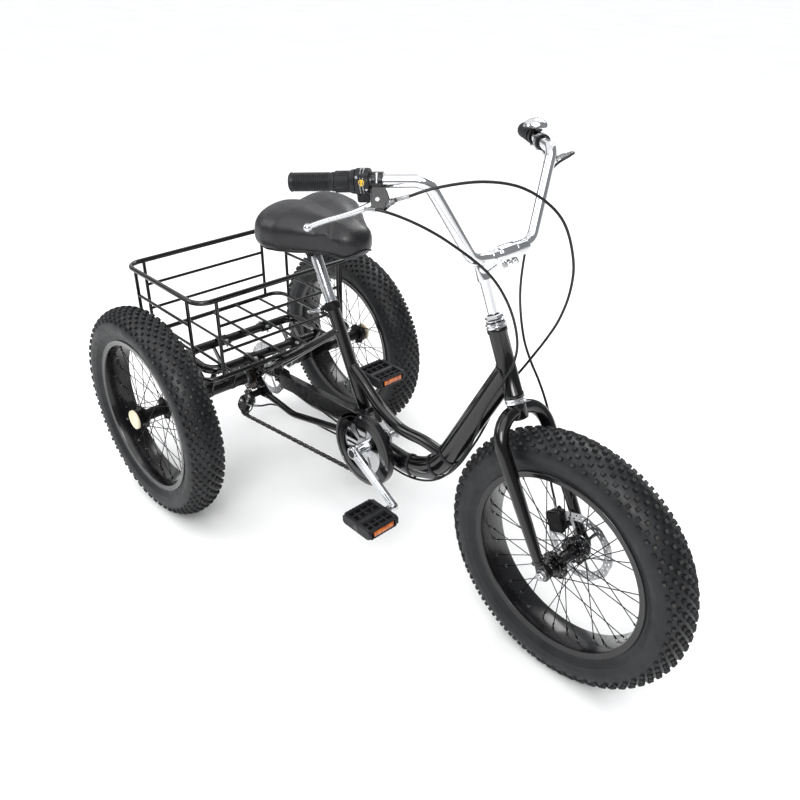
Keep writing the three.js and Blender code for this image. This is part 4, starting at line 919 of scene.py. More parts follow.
def axle_bearing(side, inner):
    centre = REAR_CENTRE + Y * side * (inner - 0.3)
    way = Y * side
    return [(ZINC, washer(centre, way, 22.5, 9, -4, 0, 0.8),
        washer(centre, way, 12.6, 9, 0, 18, 0.3)), (DARK_STEEL,
        washer(centre, way, 19, 10, -4.6, -3.8, 0.2))]


def basket(details):
    """Two tube hoops, two straight wires along each side between its uprights, and wires along
    the bottom."""
    front, rear, half = 130.0, -235.0, 245.0
    floor, top = 397.3, 611.3
    inset = 52.0 # from a corner to the first upright
    parts = [rounded_loop(front, rear, half, floor, 40, 6.4, 14),
        rounded_loop(front, rear, half, top, 40, 6.6, 14)]
    wire = details.basket_wire * 500
    lows, highs = [], []
    for first, last in (([front, inset - half], [front, half - inset]),
            ([rear, inset - half], [rear, half - inset]),
            ([rear + inset, -half], [front - inset, -half]),
            ([rear + inset, half], [front - inset, half])):
        for corner in (first, last):
            lows.append([*corner, floor])
            highs.append([*corner, top])
        for level in np.linspace(floor, top, 4)[1:-1]:
            parts.append(tube([*first, level], [*last, level], wire, 12))
    parts.append(rods(lows, highs, wire + 0.6, 12))
    ys = np.array([-163.3, -81.7, 0, 81.7, 163.3])
    parts.append(rods(np.c_[ys * 0 + rear, ys, ys * 0 + floor],
        np.c_[ys * 0 + front, ys, ys * 0 + floor], wire, 10))
    joints = [ball(place, wire + 1.6, 10) for place in lows + highs]
    return [(ENAMEL, *parts, *joints)]


# ---- Frame ----

def main_frame():
    path = bent_path(MAIN_CORNERS, 175, 24)
    straight = path[0] + (path[1] - path[0]) * np.linspace(0, 1, 8)[:, None]
    path = np.concatenate([straight, path[2:]])
    heading = unit(path[1] - path[0])
    stations = bent_path(MAIN_CORNERS, 175, 8)
    on_main = stations[1] + 0.35 * (stations[2] - stations[1])
    thin = smooth_path([on_main, SHELL + [171, 0, 85], SHELL + [86, 0, 82], SHELL + [15, 0, 109],
        SHELL + [-51, 0, 157], on_seat_tube(205)], 10)
    tubes = [lathe(HEAD_BOTTOM, STEER_AXIS, [[15, 0], [20, 0], [20.6, 0.8], [20.6, 8], [19, 10],
        [19, HEAD_LENGTH - 10], [20.6, HEAD_LENGTH - 8], [20.6, HEAD_LENGTH - 0.8],
        [20, HEAD_LENGTH], [15, HEAD_LENGTH]], 48), sweep(path, ellipse(20, 27, 32), Y),
        lathe(SHELL, SEAT_AXIS, [[13.9, 10], [16, 10], [16, 352], [16.8, 354], [16.8, 367.4],
        [16.2, 368], [13.9, 368]], 40), washer(SHELL, Y, 21, 15.8, -30, 30, 0.8, 40),
        sweep(thin, ellipse(14, 14, 24), Y)]
    welds = [weld(path[0], heading, 20, 27, HEAD_BOTTOM, STEER_AXIS, 19),
        weld(thin[-1], unit(thin[-4] - thin[-1]), 14, 14, SHELL, SEAT_AXIS, 16, 2.2),
        bead(on_seat_tube(21.5), SEAT_AXIS, 15.6, 2.6)]
    for side, y in ((-1, -21), (1, 53)):
        chainstay = bent_path([[60, y, AXLE_HEIGHT - 44], [180, y, AXLE_HEIGHT - 56],
            [400, side * 20, SHELL[2] - 6], [494, side * 20, SHELL[2]]], 120, 10)
        foot = np.array([14, y, AXLE_HEIGHT + 2.0])
        stay_top = on_seat_tube(296) + side * 10 * Y
        tubes += [sweep(chainstay, ellipse(9, 9, 20), Y), tube(foot, stay_top, 9, 20)]
        tubes += [strap([[0, AXLE_HEIGHT, 22], [32, AXLE_HEIGHT - 46, 14],
            [68, AXLE_HEIGHT - 44, 11]], y - 3, y + 3),
            strap([[0, AXLE_HEIGHT, 20], [50, AXLE_HEIGHT + 63.5, 11]], y - 3, y + 3)]
        welds += [ball(stay_top - 2 * SEAT_AXIS, 10.4, 16),
            bead(chainstay[0] + [9, 0, 0], X, 9, 1.8), bead(foot + 26 * unit(stay_top - foot),
            stay_top - foot, 9, 1.8)]
    bracket = block([498, -30.6, SHELL[2] + 22], [510, -12, SHELL[2] + 106], 0.8)
    lug = block([SHELL[0] - 9, -12, 262], [SHELL[0] + 9, 12, 272.5], 1)
    guides = [washer(SHELL, Y, 23, 20.5, y - 2, y + 2, 0.5, 40) for y in (-26, 26)]
    return [(ENAMEL, *tubes, *welds, bracket, lug, *guides)]


def cable_clips(details):
    """Bands round the main tube and both cables: the tube's oval grown by the cables' drop."""
    stations = bent_path(MAIN_CORNERS, 175, 8)
    bands = []
    for index, along in ((1, 0.0), (3, 0.3), (6, 0.4)):
        centre = stations[index] + along * (stations[index + 1] - stations[index])
        heading = unit(stations[index + 1] - stations[index])
        ring = ellipse(20.9, 27.9, 48)
        drop = np.clip(-ring[:, 1] / 27.9, 0, 1) ** 6 * 6.5
        up = np.cross(heading, Y)
        up = up if up[2] > 0 else -up
        path = centre + ring[:, :1] * Y + (ring[:, 1:] - drop[:, None]) * up
        width = details.clip_width * 500
        section = np.array([[-width, -0.7], [width, -0.7], [width, 0.7], [-width, 0.7]])
        bands.append(sweep(path, section, heading, closed=True))
    return [(PLASTIC, *bands)]


def bottom_bracket():
    rings = [washer(SHELL, Y * side, 20.6, 9, 30.3, 33.3, 0.6, 40) for side in (-1, 1)]
    turns = np.arange(0, 360, 9.0)
    radii = np.stack([turns * 0 + 14, 19.4 + 0.8 * np.sign(np.cos(np.radians(10 * turns)))])
    lock = pierced_ring(SHELL, radii, turns, np.ones((1, 40), bool), 33.2, 36)
    return [(ZINC, *rings), (DARK_STEEL, lock)]


def crank_arm(side):
    """A strap round two circles with broad chamfers, a raised spine along it, the pedal axle at
    its end and a cap at its middle. The left arm points the other way."""
    arm = strap([[0, 0, 17], [CRANK_LENGTH, 0, 12]], 66, 78, 2.6)
    spine = strap([[16, 0, 7.5], [CRANK_LENGTH - 12, 0, 5]], 77, 79.8, 1.3)
    boss = washer(ORIGIN, Y, 15.5, 8.9, 76, 82, 1.4, 40)
    cap = disc(ORIGIN, Y, 10.5, 79.2, 83.4, 1.2, 32)
    eye = np.array([CRANK_LENGTH, 0, 0])
    axle = lathe(eye, Y, [[0, 62], [4.6, 62], [5.2, 63], [5.2, 84], [8, 85], [8, 94], [5, 96],
        [5, 184], [0, 185]], 24, loop=False)
    return in_axes(SHELL, CRANK_LOCAL * [[-side], [side], [1]], (ALLOY, arm, spine, boss),
        (PLASTIC, cap), (ZINC, axle))


def crank_spindle():
    return [(ZINC, disc(SHELL, Y, 8.4, -78.8, 78.8, 1, 32))]


def pedal(centre, side):
    """A platform round a barrel: end walls, toothed bars front and back, ribs between, and a
    reflector in each bar."""
    parts = [washer(ORIGIN, Y, 12.4, 5.3, -45, 41, 1, 32)]
    for low, high in ((-46, -37), (36, 46)):
        outline = round_corners([[-48, -8], [-40, -13], [40, -13], [48, -8], [48, 8], [40, 13],
            [-40, 13], [-48, 8]], 3, 3)
        parts.append(plate(outline, low, high, 1.2))
    for way in (-1, 1):
        xs = sorted((way * 39, way * 48))
        for low, high in ((-12.6, -7.2), (7.2, 12.6)):
            parts.append(block([xs[0], -40, low], [xs[1], 40, high], 1, 1.6))
        parts.append(block([way * 40 - 1.5, -40, -11], [way * 40 + 1.5, 40, 11], 0.5, 0.8))
        parts.append(block([way * 26 - 2, -40, -10.5], [way * 26 + 2, 40, 10.5], 0.8, 1))
        for y in np.linspace(-34, 34, 8):
            for face in (-1, 1):
                parts.append(block([way * 43.5 - 3, y - 2.2, min(face * 12, face * 14.6)],
                    [way * 43.5 + 3, y + 2.2, max(face * 12, face * 14.6)], 0.5, 0.8))
        for y in (-20, 0, 20):
            parts.append(block([min(way * 11, way * 40), y - 1.8, -9.5],
                [max(way * 11, way * 40), y + 1.8, 9.5], 0.6, 1))
    body = moved(joined(*parts), centre)
    lenses = [moved(block([min(way * 44, way * 48.8), -30, -6.4],
        [max(way * 44, way * 48.8), 30, 6.4], 1, 1.2), centre) for way in (-1, 1)]
    nut = moved(disc(ORIGIN, Y * side, 9, 44, 47.2, 1, 24), centre)
    return [(PLASTIC, body), ("amber_acrylic_reflector", *lenses), (GLOSS_PLASTIC, nut)]


def chain_guard():
    """A ring whose section is a soft L, and a tapering arm that covers the chain's upper run."""
    half = [[68, -50], [96.5, -50], [99.2, -48.8], [100, -46.5], [100, -31], [97.4, -31],
        [97.4, -46.4], [96, -47.4], [69.4, -47.4], [68, -48.2]]
    ring = lathe(SHELL, Y, half, 96, arc=(0, 360))
    groove = washer(SHELL, Y, 90, 86, -50.8, -49.4, 0.4, 96)
    face = round_corners([[170, 328], [170, 370], [484, 390], [500, 392], [470, 356]], 6, 5)
    lid = round_corners([[170, 367.4], [170, 370], [484, 390], [484, 387.4]], 0.6, 2)
    floor = round_corners([[170, 328], [170, 330.6], [420, 353], [420, 350.4]], 0.6, 2)
    arm = joined(plate(face, -50, -47.4, 1), plate(lid, -49, -31, 0.4),
        plate(floor, -49, -31, 0.4))
    screws = [disc(SHELL + polar(93, turn), -Y, 4, 49.5, 51.4, 0.6, 16) for turn in (0, 130, 230)]
    return [(GLOSS_PLASTIC, ring, groove, arm), (ZINC, *screws)]


def derailleur_body():
    hanger = np.array([30, 0, AXLE_HEIGHT - 46.0])
    links = [strap([[hanger[0], hanger[2], 10.5], [GUIDE[0], GUIDE[2], 13]], low, high, 1.2)
        for low, high in ((-60.2, -57.2), (-51.4, -48.4))]
    knuckle = [disc(hanger, -Y, 9.5, 24.5, 62, 1.4, 32), disc(GUIDE, -Y, 12, 48.4, 62, 1.6, 32),
        block([6, -58, GUIDE[2] + 6], [22, -50.5, GUIDE[2] + 26], 1.2, 3)]
    bolts = [hexagon(hanger, -Y, 10, 61.6, 65.6), hexagon(GUIDE, -Y, 9, 61.6, 64.6),
        disc([14, 0, GUIDE[2] + 8], -Y, 3.4, 59, 62.6, 0.5, 16),
        disc([20, 0, GUIDE[2] + 17], -Y, 3.4, 59, 62.6, 0.5, 16),
        tube([-9, -54, GUIDE[2] - 4.4], [15, -54, GUIDE[2] - 9.2], 3.8, 16)]
    pin = tube(GUIDE + [0, -49, 0], GUIDE + [0, -27.9, 0], 4, 20)
    hoop = bent_path([[34, -52, 236], [42, -66, 206], [10, -69, 176], [-34, -68, 186],
        [-28, -56, 214]], 14, 8)
    return [(DARK_STEEL, *links, *knuckle), (ZINC, *bolts, pin),
        (DARK_STEEL, sweep(hoop, ellipse(1.7, 1.7, 10)))]


def derailleur_cage():
    plates = [strap([[GUIDE[0], GUIDE[2], 12], [TENSION[0], TENSION[2], 12]], low, low + 1.9, 0.4)
        for low in (-47.9, -31.5)]
    ends = [tube(TENSION - 47 * Y, TENSION - 29 * Y, 4, 20)]
    bolts = [hexagon(TENSION, -Y, 8, 47.8, 50), disc(TENSION, Y, 4.6, -29.7, -28.4, 0.4, 16)]
    middle = (GUIDE + TENSION) / 2 + [12, 0, -4]
    ends.append(tube(middle - 47 * Y, middle - 30.5 * Y, 1.8, 12))
    return [(DARK_STEEL, *plates, *ends), (ZINC, *bolts)]


def caliper(low, high, disc_y, away):
    """A cast body in two halves round the disc, with an arm, a return spring's coil and bolts."""
    low, high = np.asarray(low, float), np.asarray(high, float)
    middle = (low + high) / 2
    halves = [block([low[0], low[1], low[2]], [high[0], disc_y - 2.2, high[2]], 1.6, 6),
        block([low[0] + 2, disc_y + 2.2, low[2] + 2], [high[0] - 2, high[1], high[2] - 2], 1.6, 6)]
    bridge = block([away[0] - 5, low[1] + 2, low[2] + 4],
        [away[0] + 5, high[1] - 2, high[2] - 4], 1.2, 2)
    outside = -1 if abs(low[1] - disc_y) > abs(high[1] - disc_y) else 1
    face = low[1] if outside < 0 else high[1]
    way = Y * outside
    spot = middle * [1, 0, 1]
    barrel = disc(spot + [0, face, 0], way, 11, -1, 5, 1, 32)
    arm = strap([[spot[0], spot[2], 6], [spot[0] - 6, spot[2] + 20, 4]], 0, 3)
    arm = (arm[0] * [1, outside, 1] + [0, face + outside * 5, 0], arm[1])
    bolts = [hexagon(spot + [0, face, 0], way, 8, 8, 11.5)]
    bolts += [hexagon(spot + [dx, face, dz], way, 6, -0.4, 3)
        for dx, dz in ((-13, -15), (13, -15), (-13, 15), (13, 15))]
    return [(DARK_STEEL, *halves, bridge, barrel), (DARK_STEEL, arm), (ZINC, *bolts)]


# ---- Seat ----

def seat_clamp():
    band = washer(ORIGIN, Z, 20.6, 16.9, -21, -3, 1.4, 48)
    ears = [block([-36, side * 2 - (7 if side < 0 else 0), -17.5],
        [-19, side * 2 + (7 if side > 0 else 0), -5.5], 1, 2) for side in (-1, 1)]
    pin = tube([-29, -22, -11.5], [-29, 12, -11.5], 3, 16)
    nut = disc([-29, 0, -11.5], Y, 6.4, 9, 14, 1, 24)
    return in_axes(SEAT_TOP, SEAT_LOCAL, (DARK_STEEL, band, *ears), (ZINC, pin, nut))


def seat_clamp_lever():
    """A quick-release lever: a flattened oval swept along a gentle curve from its cam."""
    centre = np.array([-29, -18, -11.5])
    path = smooth_path([[4, 0, 0], [-10, -0.6, 0], [-26, -2.6, 0], [-40, -3.2, 0], [-52, -2.0, 0]])
    share = np.linspace(0, 1, len(path))[:, None, None]
    section = ellipse(1, 1, 16)[None] * np.array([2.6, 5.4]) * (1 - 0.18 * share)
    blade = sweep(path, section, Y)
    cam = disc(ORIGIN, Y, 6.6, -4.6, 3.4, 1, 24)
    return in_axes(SEAT_TOP + centre @ SEAT_LOCAL, SEAT_LOCAL, (ALLOY, blade, cam))


def seat_post():
    """A polished post with its top crimped to the saddle clamp: two serrated discs and a bolt."""
    post = lathe(ORIGIN, Z, [[0, -160], [13.5, -160], [13.6, -159], [13.6, 108], [12.4, 114],
        [11, 118], [11, 134], [0, 134]], 48, loop=False)
    clamp = []
    for side in (-1, 1):
        turns = np.arange(0, 360, 6.0)
        radii = np.stack([turns * 0 + 4.4, 14.6 + 0.7 * np.sign(np.cos(np.radians(15 * turns)))])
        ring = pierced_ring(np.array([0, 0, 132.0]), radii, turns, np.ones((1, 60), bool),
            side * 16 - 3, side * 16 + 3)
        clamp += [ring, washer(np.array([0, 0, 132.0]), Y * side, 16.6, 11, 4, 13, 1, 32)]
    jaw = block([-17, -12, 124], [17, 12, 145], 2, 4)
    bolt = [hexagon([0, 0, 132], Y * side, 12, 19, 25) for side in (-1, 1)]
    rails = []
    for side in (-1, 1):
        path = [[-70, side * 44, 152], [-34, side * 24, 147], [0, side * 22, 146],
            [40, side * 22, 146], [84, side * 14, 158]]
        rails.append(sweep(smooth_path(path), ellipse(3.5, 3.5, 12)))
    level = SEAT_TOP + 132 * SEAT_AXIS - 132 * Z
    return (in_axes(SEAT_TOP, SEAT_LOCAL, (ALLOY, post), (DARK_STEEL, *clamp, jaw), (ZINC, *bolt))
        + [(DARK_STEEL, moved(joined(*rails), level))])


def saddle_surface(along, around):
    """The saddle as a closed skin: `along` runs from its tail to its nose and `around` once round
    its section, from the middle of the top. A section is a superellipse whose half width, top
    and bottom follow curves through stations; the top has a valley that fades towards the nose."""
    stations = [0, 0.06, 0.14, 0.26, 0.40, 0.54, 0.68, 0.80, 0.91, 1]
    width = np.interp(along, stations, [92, 122, 135, 139.5, 133, 107, 78, 59, 48, 40])
    top = np.interp(along, stations, [88, 95, 99, 100, 97, 90, 81, 74, 68, 61])
    low = np.interp(along, stations, [-8, -12, -14, -14, -9, -4, -2, -2, -1, 4])
    end = np.sqrt(np.clip(1 - np.clip((along - 0.86) / 0.14, 0, 1) ** 2.6, 0, 1))
    tail = np.sqrt(np.clip(1 - np.clip((0.2 - along) / 0.2, 0, 1) ** 2.6, 0, 1))
    size = end * tail
    middle = top * 0.42 + low * 0.58
    turn = 2 * np.pi * around
    side = np.sign(np.sin(turn)) * np.abs(np.sin(turn)) ** 0.74
    rise = np.sign(np.cos(turn)) * np.abs(np.cos(turn)) ** 0.72
    y = width * size * side
    reach = np.where(rise > 0, top - middle, middle - low)
    z = middle + reach * size * rise
    valley = (10 * np.exp(-(y / 26) ** 2) * np.clip((0.8 - along) / 0.35, 0, 1)
        * np.clip(along / 0.1, 0, 1) * (rise > 0.25))
    return y, z - valley * size


def saddle_skin():
    """The surface above on a grid of 64 stations and 72 places round, closed at both ends."""
    along = 0.5 - 0.5 * np.cos(np.linspace(0, np.pi, 64))
    around = np.linspace(0, 1, 72, endpoint=False)
    s, t = np.meshgrid(along, around, indexing="ij")
    y, z = saddle_surface(s, t)
    points = np.stack([SADDLE_TAIL + SADDLE_LENGTH * s, y, SADDLE_BASE + z], -1)
    return points.reshape(-1, 3), [grid_faces(64, 72), np.arange(72)[None],
        np.arange(72)[None] + 63 * 72]


def saddle_edge():
    """A moulded lip where the cover meets the base pan: a small oval carried round the widest
    line of the section, a little below its middle."""
    along = 0.5 - 0.5 * np.cos(np.linspace(0.12, np.pi - 0.12, 60))
    lines = []
    for around in (0.345, 0.655):
        y, z = saddle_surface(along, np.full(60, around))
        x = SADDLE_TAIL + SADDLE_LENGTH * along
        lines.append(np.stack([x, y * 1.004, SADDLE_BASE + z - 0.4], -1))
    path = np.concatenate([lines[0], lines[1][::-1]])
    return sweep(path, ellipse(1.6, 1.6, 8), Z, closed=True)


def inflate(piece):
    """Cloth under pressure: the cover is remeshed, swollen for 20 steps with gravity off, and
    held to 3 mm of travel."""
    rest = piece.data
    scene = bpy.context.scene
    with bpy.context.temp_override(object=piece, active_object=piece, selected_objects=[piece]):
        remesh = piece.modifiers.new("remesh", "REMESH")
        remesh.mode, remesh.voxel_size = "VOXEL", 0.005
        bpy.ops.object.modifier_apply(modifier=remesh.name)
        start = np.empty(len(rest.vertices) * 3)
        rest.vertices.foreach_get("co", start)
        start = start.reshape(-1, 3)
        cloth = piece.modifiers.new("cloth", "CLOTH")
        settings = cloth.settings
        settings.use_pressure, settings.uniform_pressure_force = True, 4.0
        settings.tension_stiffness, settings.bending_stiffness = 40.0, 8.0
        settings.effector_weights.gravity = 0.0
        for step in range(1, 21):
            scene.frame_set(step)
        bpy.ops.object.modifier_apply(modifier=cloth.name)
        scene.frame_set(1)
    swollen = np.empty(len(rest.vertices) * 3)
    rest.vertices.foreach_get("co", swollen)
    travel = swollen.reshape(-1, 3) - start
    reach = np.linalg.norm(travel, axis=1, keepdims=True)
    held = start + travel * np.minimum(1, 0.003 / np.maximum(reach, 1e-9))
    rest.vertices.foreach_set("co", held.ravel())
    rest.update()


# ---- Fork, headset, stem and bar ----

FORK_LENGTH = float((FRONT_CENTRE - HEAD_BOTTOM) @ -STEER_AXIS)
RAKE = float((FRONT_CENTRE - HEAD_BOTTOM) @ STEER_LOCAL[0])


def fork():
    """One tube bent over the tyre, its legs drawn down to their ends, with the ends' plates, a
    crown boss and the caliper's mount."""
    legs = [[[RAKE - 2, side * 72, 22 - FORK_LENGTH], [0, side * 72, -28]] for side in (-1, 1)]
    path = bent_path([legs[0][0], legs[0][1], legs[1][1], legs[1][0]], 58, 16)
    path = even_path(path, 12)
    taper = np.clip((path[:, 2] + FORK_LENGTH - 22) / 190, 0, 1)
    radius = 10.5 + 4.5 * taper ** 0.8
    section = ellipse(1, 1, 28)[None] * radius[:, None, None]
    parts = [sweep(path, section, X)]
    for side in (-1, 1):
        low, high = sorted((side * 67.8, side * 73.8))
        parts.append(strap([[RAKE, -FORK_LENGTH, 16], [RAKE - 3, 36 - FORK_LENGTH, 11]], low,
            high, 1))
        parts.append(bead([RAKE - 2.4, side * 71, 30 - FORK_LENGTH], Z, 11, 2.0))
        eye = [RAKE - 16, side * 70.8, 22 - FORK_LENGTH]
        parts.append(washer(eye, Y, 5, 2.6, -3.4, 3.4, 0.5, 20))
    parts += [lathe(ORIGIN, Z, [[10.8, -44], [17, -44], [19.4, -40], [19.4, -15], [18, -13.4],
        [10.8, -13.4]], 40), bead([0, 0, -43], Z, 16.6, 2.2),
        washer(ORIGIN, Z, 13.3, 11, -30, 172, 0.4, 40),
        block([0.9, 60, 42 - FORK_LENGTH], [12, 70, 68 - FORK_LENGTH], 1)]
    return in_axes(HEAD_BOTTOM, STEER_LOCAL, (ENAMEL, *parts))


def headset_cup(profile, seal):
    cup = lathe(HEAD_BOTTOM, STEER_AXIS, [[13.8, profile[0][1]], *profile,
        [13.8, profile[-1][1]]], 56)
    gap = washer(HEAD_BOTTOM, STEER_AXIS, 18.6, 14, *seal, 0.3, 40)
    return [(CHROME, cup), (CABLE_SLEEVE, gap)]


def headset_locknut():
    nut = hexagon(HEAD_BOTTOM, STEER_AXIS, 33, HEAD_LENGTH + 18, HEAD_LENGTH + 27)
    spacer = washer(HEAD_BOTTOM, STEER_AXIS, 19.5, 13.8, HEAD_LENGTH + 14.6, HEAD_LENGTH + 17, 0.5)
    knurl = lathe(HEAD_BOTTOM, STEER_AXIS, [[13.8, HEAD_LENGTH + 13.2], [18.4, HEAD_LENGTH + 13.2],
        [18.4, HEAD_LENGTH + 14.4], [13.8, HEAD_LENGTH + 14.4]], 40)
    return [(CHROME, nut, spacer), (CABLE_SLEEVE, knurl)]


def stem():
    """A chromed quill, a cast knee, an arm that widens into the bar clamp, and its bolt."""
    knee = on_steering(260)
    arm = unit(BAR_CLAMP - knee)
    quill = lathe(HEAD_BOTTOM, STEER_AXIS, [[0, 60], [10.4, 60], [10.5, 61], [10.5, 236],
        [13.2, 240], [13.6, 242], [13.6, 268], [11.5, 274], [0, 276]], 48, loop=False)
    length = float(np.linalg.norm(BAR_CLAMP - knee))
    neck = lathe(knee, arm, [[0, -11], [9, -9], [12.6, -3], [12.6, 8], [11.4, 20],
        [12.6, length - 14], [14, length], [0, length]], 40, loop=False)
    clamp = lathe(BAR_CLAMP, Y, [[13.2, -22], [16.4, -22], [17.2, -21], [17.2, 21], [16.4, 22],
        [13.2, 22]], 48)
    under = np.cross(Y, arm)
    under = under if under[2] < 0 else -under
    ears = [moved(block([-7, side * 1.4 - (12 if side < 0 else 0), -5],
        [7, side * 1.4 + (12 if side > 0 else 0), 5], 1, 2), BAR_CLAMP + 20 * under)
        for side in (-1, 1)]
    bolt = [tube(BAR_CLAMP + 21 * under - 17 * Y, BAR_CLAMP + 21 * under + 19 * Y, 3, 14),
        hexagon(BAR_CLAMP + 21 * under, -Y, 10, 13.4, 18.6),
        hexagon(BAR_CLAMP + 21 * under, Y, 10, 13.4, 19)]
    expander = disc(HEAD_BOTTOM, STEER_AXIS, 5, 274, 279, 0.8, 24)
    return [(CHROME, quill, neck, clamp, *ears), (ZINC, *bolt, expander)]


def handlebar():
    """One tube through ten corners, with a thicker middle in the clamp and a knurled sleeve."""
    corners = np.array([[0, 38, 0], [-5, 84, 5], BAR_KNEE, BAR_END], float)
    line = np.concatenate([corners[::-1] * [1, -1, 1], corners]) + BAR_CLAMP
    path = bent_path(line, 34, 14)
    tube_ = sweep(path, ellipse(11.1, 11.1, 32))
    middle = lathe(BAR_CLAMP, Y, [[0, -42], [11.2, -42], [13, -38], [13, 38], [11.2, 42], [0, 42]],
        40, loop=False)
    sleeve = washer(BAR_CLAMP, Y, 14.6, 13, 24, 58, 0.8, 48)
    return [(CHROME, tube_, middle), (ALLOY, sleeve)]


# ---- Controls on the bar ends ----

def ribbed(start, stop, low, high, pitch):
    """A profile of [radius, distance] whose radius rises and falls once every pitch."""
    count = max(2, int(round((stop - start) / pitch)))
    edges = np.linspace(start, stop, count * 4 + 1)
    lift = np.tile([0, 1, 1, 0], count)
    lift = np.r_[lift, 0]
    return np.stack([low + (high - low) * lift, edges], -1)


def grip(side):
    """A moulded rubber grip: fine ribs, a flange by the rider's thumb and a closed end."""
    end, axes = bar_end_axes(side)
    body = np.concatenate([[[0, -5], [13.5, -5], [16, -3], [16.2, 0], [15.2, 2]],
        ribbed(3, 66, 15.0, 15.9, 3.0), [[15.2, 68], [16.2, 70], [16.2, 74], [11.4, 74]]])
    skin = lathe(ORIGIN, X, body, 64, loop=False)
    bore = lathe(ORIGIN, X, [[11.4, 74], [11.4, -0.3], [0, -0.3]], 64, loop=False)
    return in_axes(end, axes, (PLASTIC, skin, bore))


def fluted_sleeve(start, stop, inner, outer, flutes, depth):
    """A sleeve whose outside is fluted: radius = outer less depth times a squared wave of the
    turn, fading out at both ends."""
    turn = np.linspace(0, 2 * np.pi, flutes * 6, endpoint=False)
    share = np.array([0, 0.04, 0.1, 0.5, 0.9, 0.96, 1.0])
    fade = np.array([0, 0, 1, 1, 1, 0, 0])
    wave = np.clip(np.cos(flutes * turn) * 1.6, -1, 1) * 0.5 + 0.5
    radius = outer - depth * fade[:, None] * wave[None]
    radius[[0, -1]] -= 1.0
    radius = np.concatenate([np.full((1, len(turn)), inner), radius,
        np.full((1, len(turn)), inner)])
    along = np.concatenate([[start], start + share * (stop - start), [stop]])
    points = np.stack([np.broadcast_to(along[:, None], radius.shape), radius * np.cos(turn),
        radius * np.sin(turn)], -1)
    return points.reshape(-1, 3), [grid_faces(len(along), len(turn), close_rows=True)]


def twist_grip():
    end, axes = bar_end_axes(-1)
    collar = lathe(ORIGIN, X, [[11.5, 100], [17, 100], [19.6, 103], [20.6, 109.8],
        [11.5, 109.8]], 64)
    return in_axes(end, axes, (PLASTIC, fluted_sleeve(75, 101, 11.5, 18.2, 24, 1.4), collar))


def shifter_housing():
    """A drum on the bar with a box below, two bright trims, a round gear window and the cable's
    outlet."""
    end, axes = bar_end_axes(-1)
    drum = lathe(ORIGIN, X, [[11.5, 110.5], [20, 110.5], [22, 112], [22.4, 118], [21.4, 119.5],
        [21.4, 127], [22.4, 128.5], [22, 134], [20, 136], [11.5, 136]], 56)
    box = block([112, -9, -34], [134, 9, -14], 1.6, 4)
    lid = block([110.8, -20, -13], [135.6, -10, 17], 2, 5)
    outlet = tube([123, 6, -26], [134, 20, -34], 4.2, 16)
    trims = [washer(ORIGIN, X, 22.8, 20, x, x + 1.6, 0.4, 56) for x in (119.8, 125)]
    screws = [disc([x, 0, z], -Y, 2.6, 19.6, 21, 0.4, 16) for x, z in ((115, 12), (131, -8))]
    rim_ = disc([123, 0, 3], -Y, 7.4, 18.6, 21.2, 0.7, 28)
    window = disc([123, 0, 3], -Y, 5.6, 20.6, 21.9, 0.5, 28)
    return in_axes(end, axes, (PLASTIC, drum, box, lid, outlet, rim_), (ZINC, *trims, *screws),
        ("yellow_indicator", window))


def lying(skin):
    """A plate turned from its upright plane into the lever's plane."""
    return skin[0][:, [0, 2, 1]] * [1, 1, -1], skin[1]


def brake_bracket(side):
    """A clamp round the bar, an arm forked for the lever, its pivot screw and the adjuster."""
    end, axes = lever_axes(side)
    band = washer(ORIGIN, X, 16, 11.5, 138, 158, 1.2, 44)
    arm_line = round_corners([[138, 12], [162, 12], [172, 38], [160, 50], [139, 48]], 4, 5)
    cheeks = [lying(plate(arm_line, low, high, 1)) for low, high in ((-9, -4.7), (4.7, 9))]
    web_line = round_corners([[140, 12], [161, 12], [171, 38], [163.4, 46], [162.8, 23.2],
        [140, 23.2]], 1.2, 3)
    web = lying(plate(web_line, -4.7, 4.7, 0.4))
    adjuster_end = np.array([186, 42.5, side * 34])
    adjuster = rods([[163, 40, side * 4.0]], [adjuster_end], 4, 14)
    nut = rods([adjuster_end * 0.45 + np.array([162, 40, 0]) * 0.55],
        [adjuster_end * 0.62 + np.array([162, 40, 0]) * 0.38], 5.6, 12)
    pivot_ = tube([150, 34, -10.4], [150, 34, 10.4], 3.6, 20)
    pinch = tube([148, -9, -13.5], [148, 9, -13.5], 3.4, 16)
    return in_axes(end, axes, (POWDER_COAT, band, *cheeks, web),
        (ZINC, adjuster, nut, pivot_, pinch))


def brake_lever(side):
    """A cast blade: an oval that widens from the pivot to the fingers and is swept along the
    blade's curve, with a ball at its tip and the pivot's eye at its root."""
    end, axes = lever_axes(side)
    path = smooth_path([[-2, 0.5, 0], [-16, 8, 0], [-42, 19.4, 0], [-62, 26, 0], [-84, 32, 0],
        [-104, 38.6, 0], [-119, 44.4, 0]], 7)
    share = np.linspace(0, 1, len(path))
    half = 6.8 - 2.4 * np.clip(share / 0.5, 0, 1)
    wide = 3.9 + 3.6 * np.clip((share - 0.16) / 0.2, 0,
        1) * (1 - 0.3 * np.clip((share - 0.7) / 0.3, 0, 1))
    section = ellipse(1, 1, 20)[None] * np.stack([half, wide], -1)[:, None, :]
    blade = sweep(path, section, Y)
    eye = lying(plate(round_corners([[8.6, -6.6], [8.6, 6.6], [-8, 8.4], [-12, -4]], 3, 5), -3.9,
        3.9, 0.8))
    tip = ball([-120, 45, 0], 7.4, 24)
    return in_axes(end + [150, 34, 0] @ axes, axes, (ALLOY, blade, eye, tip))


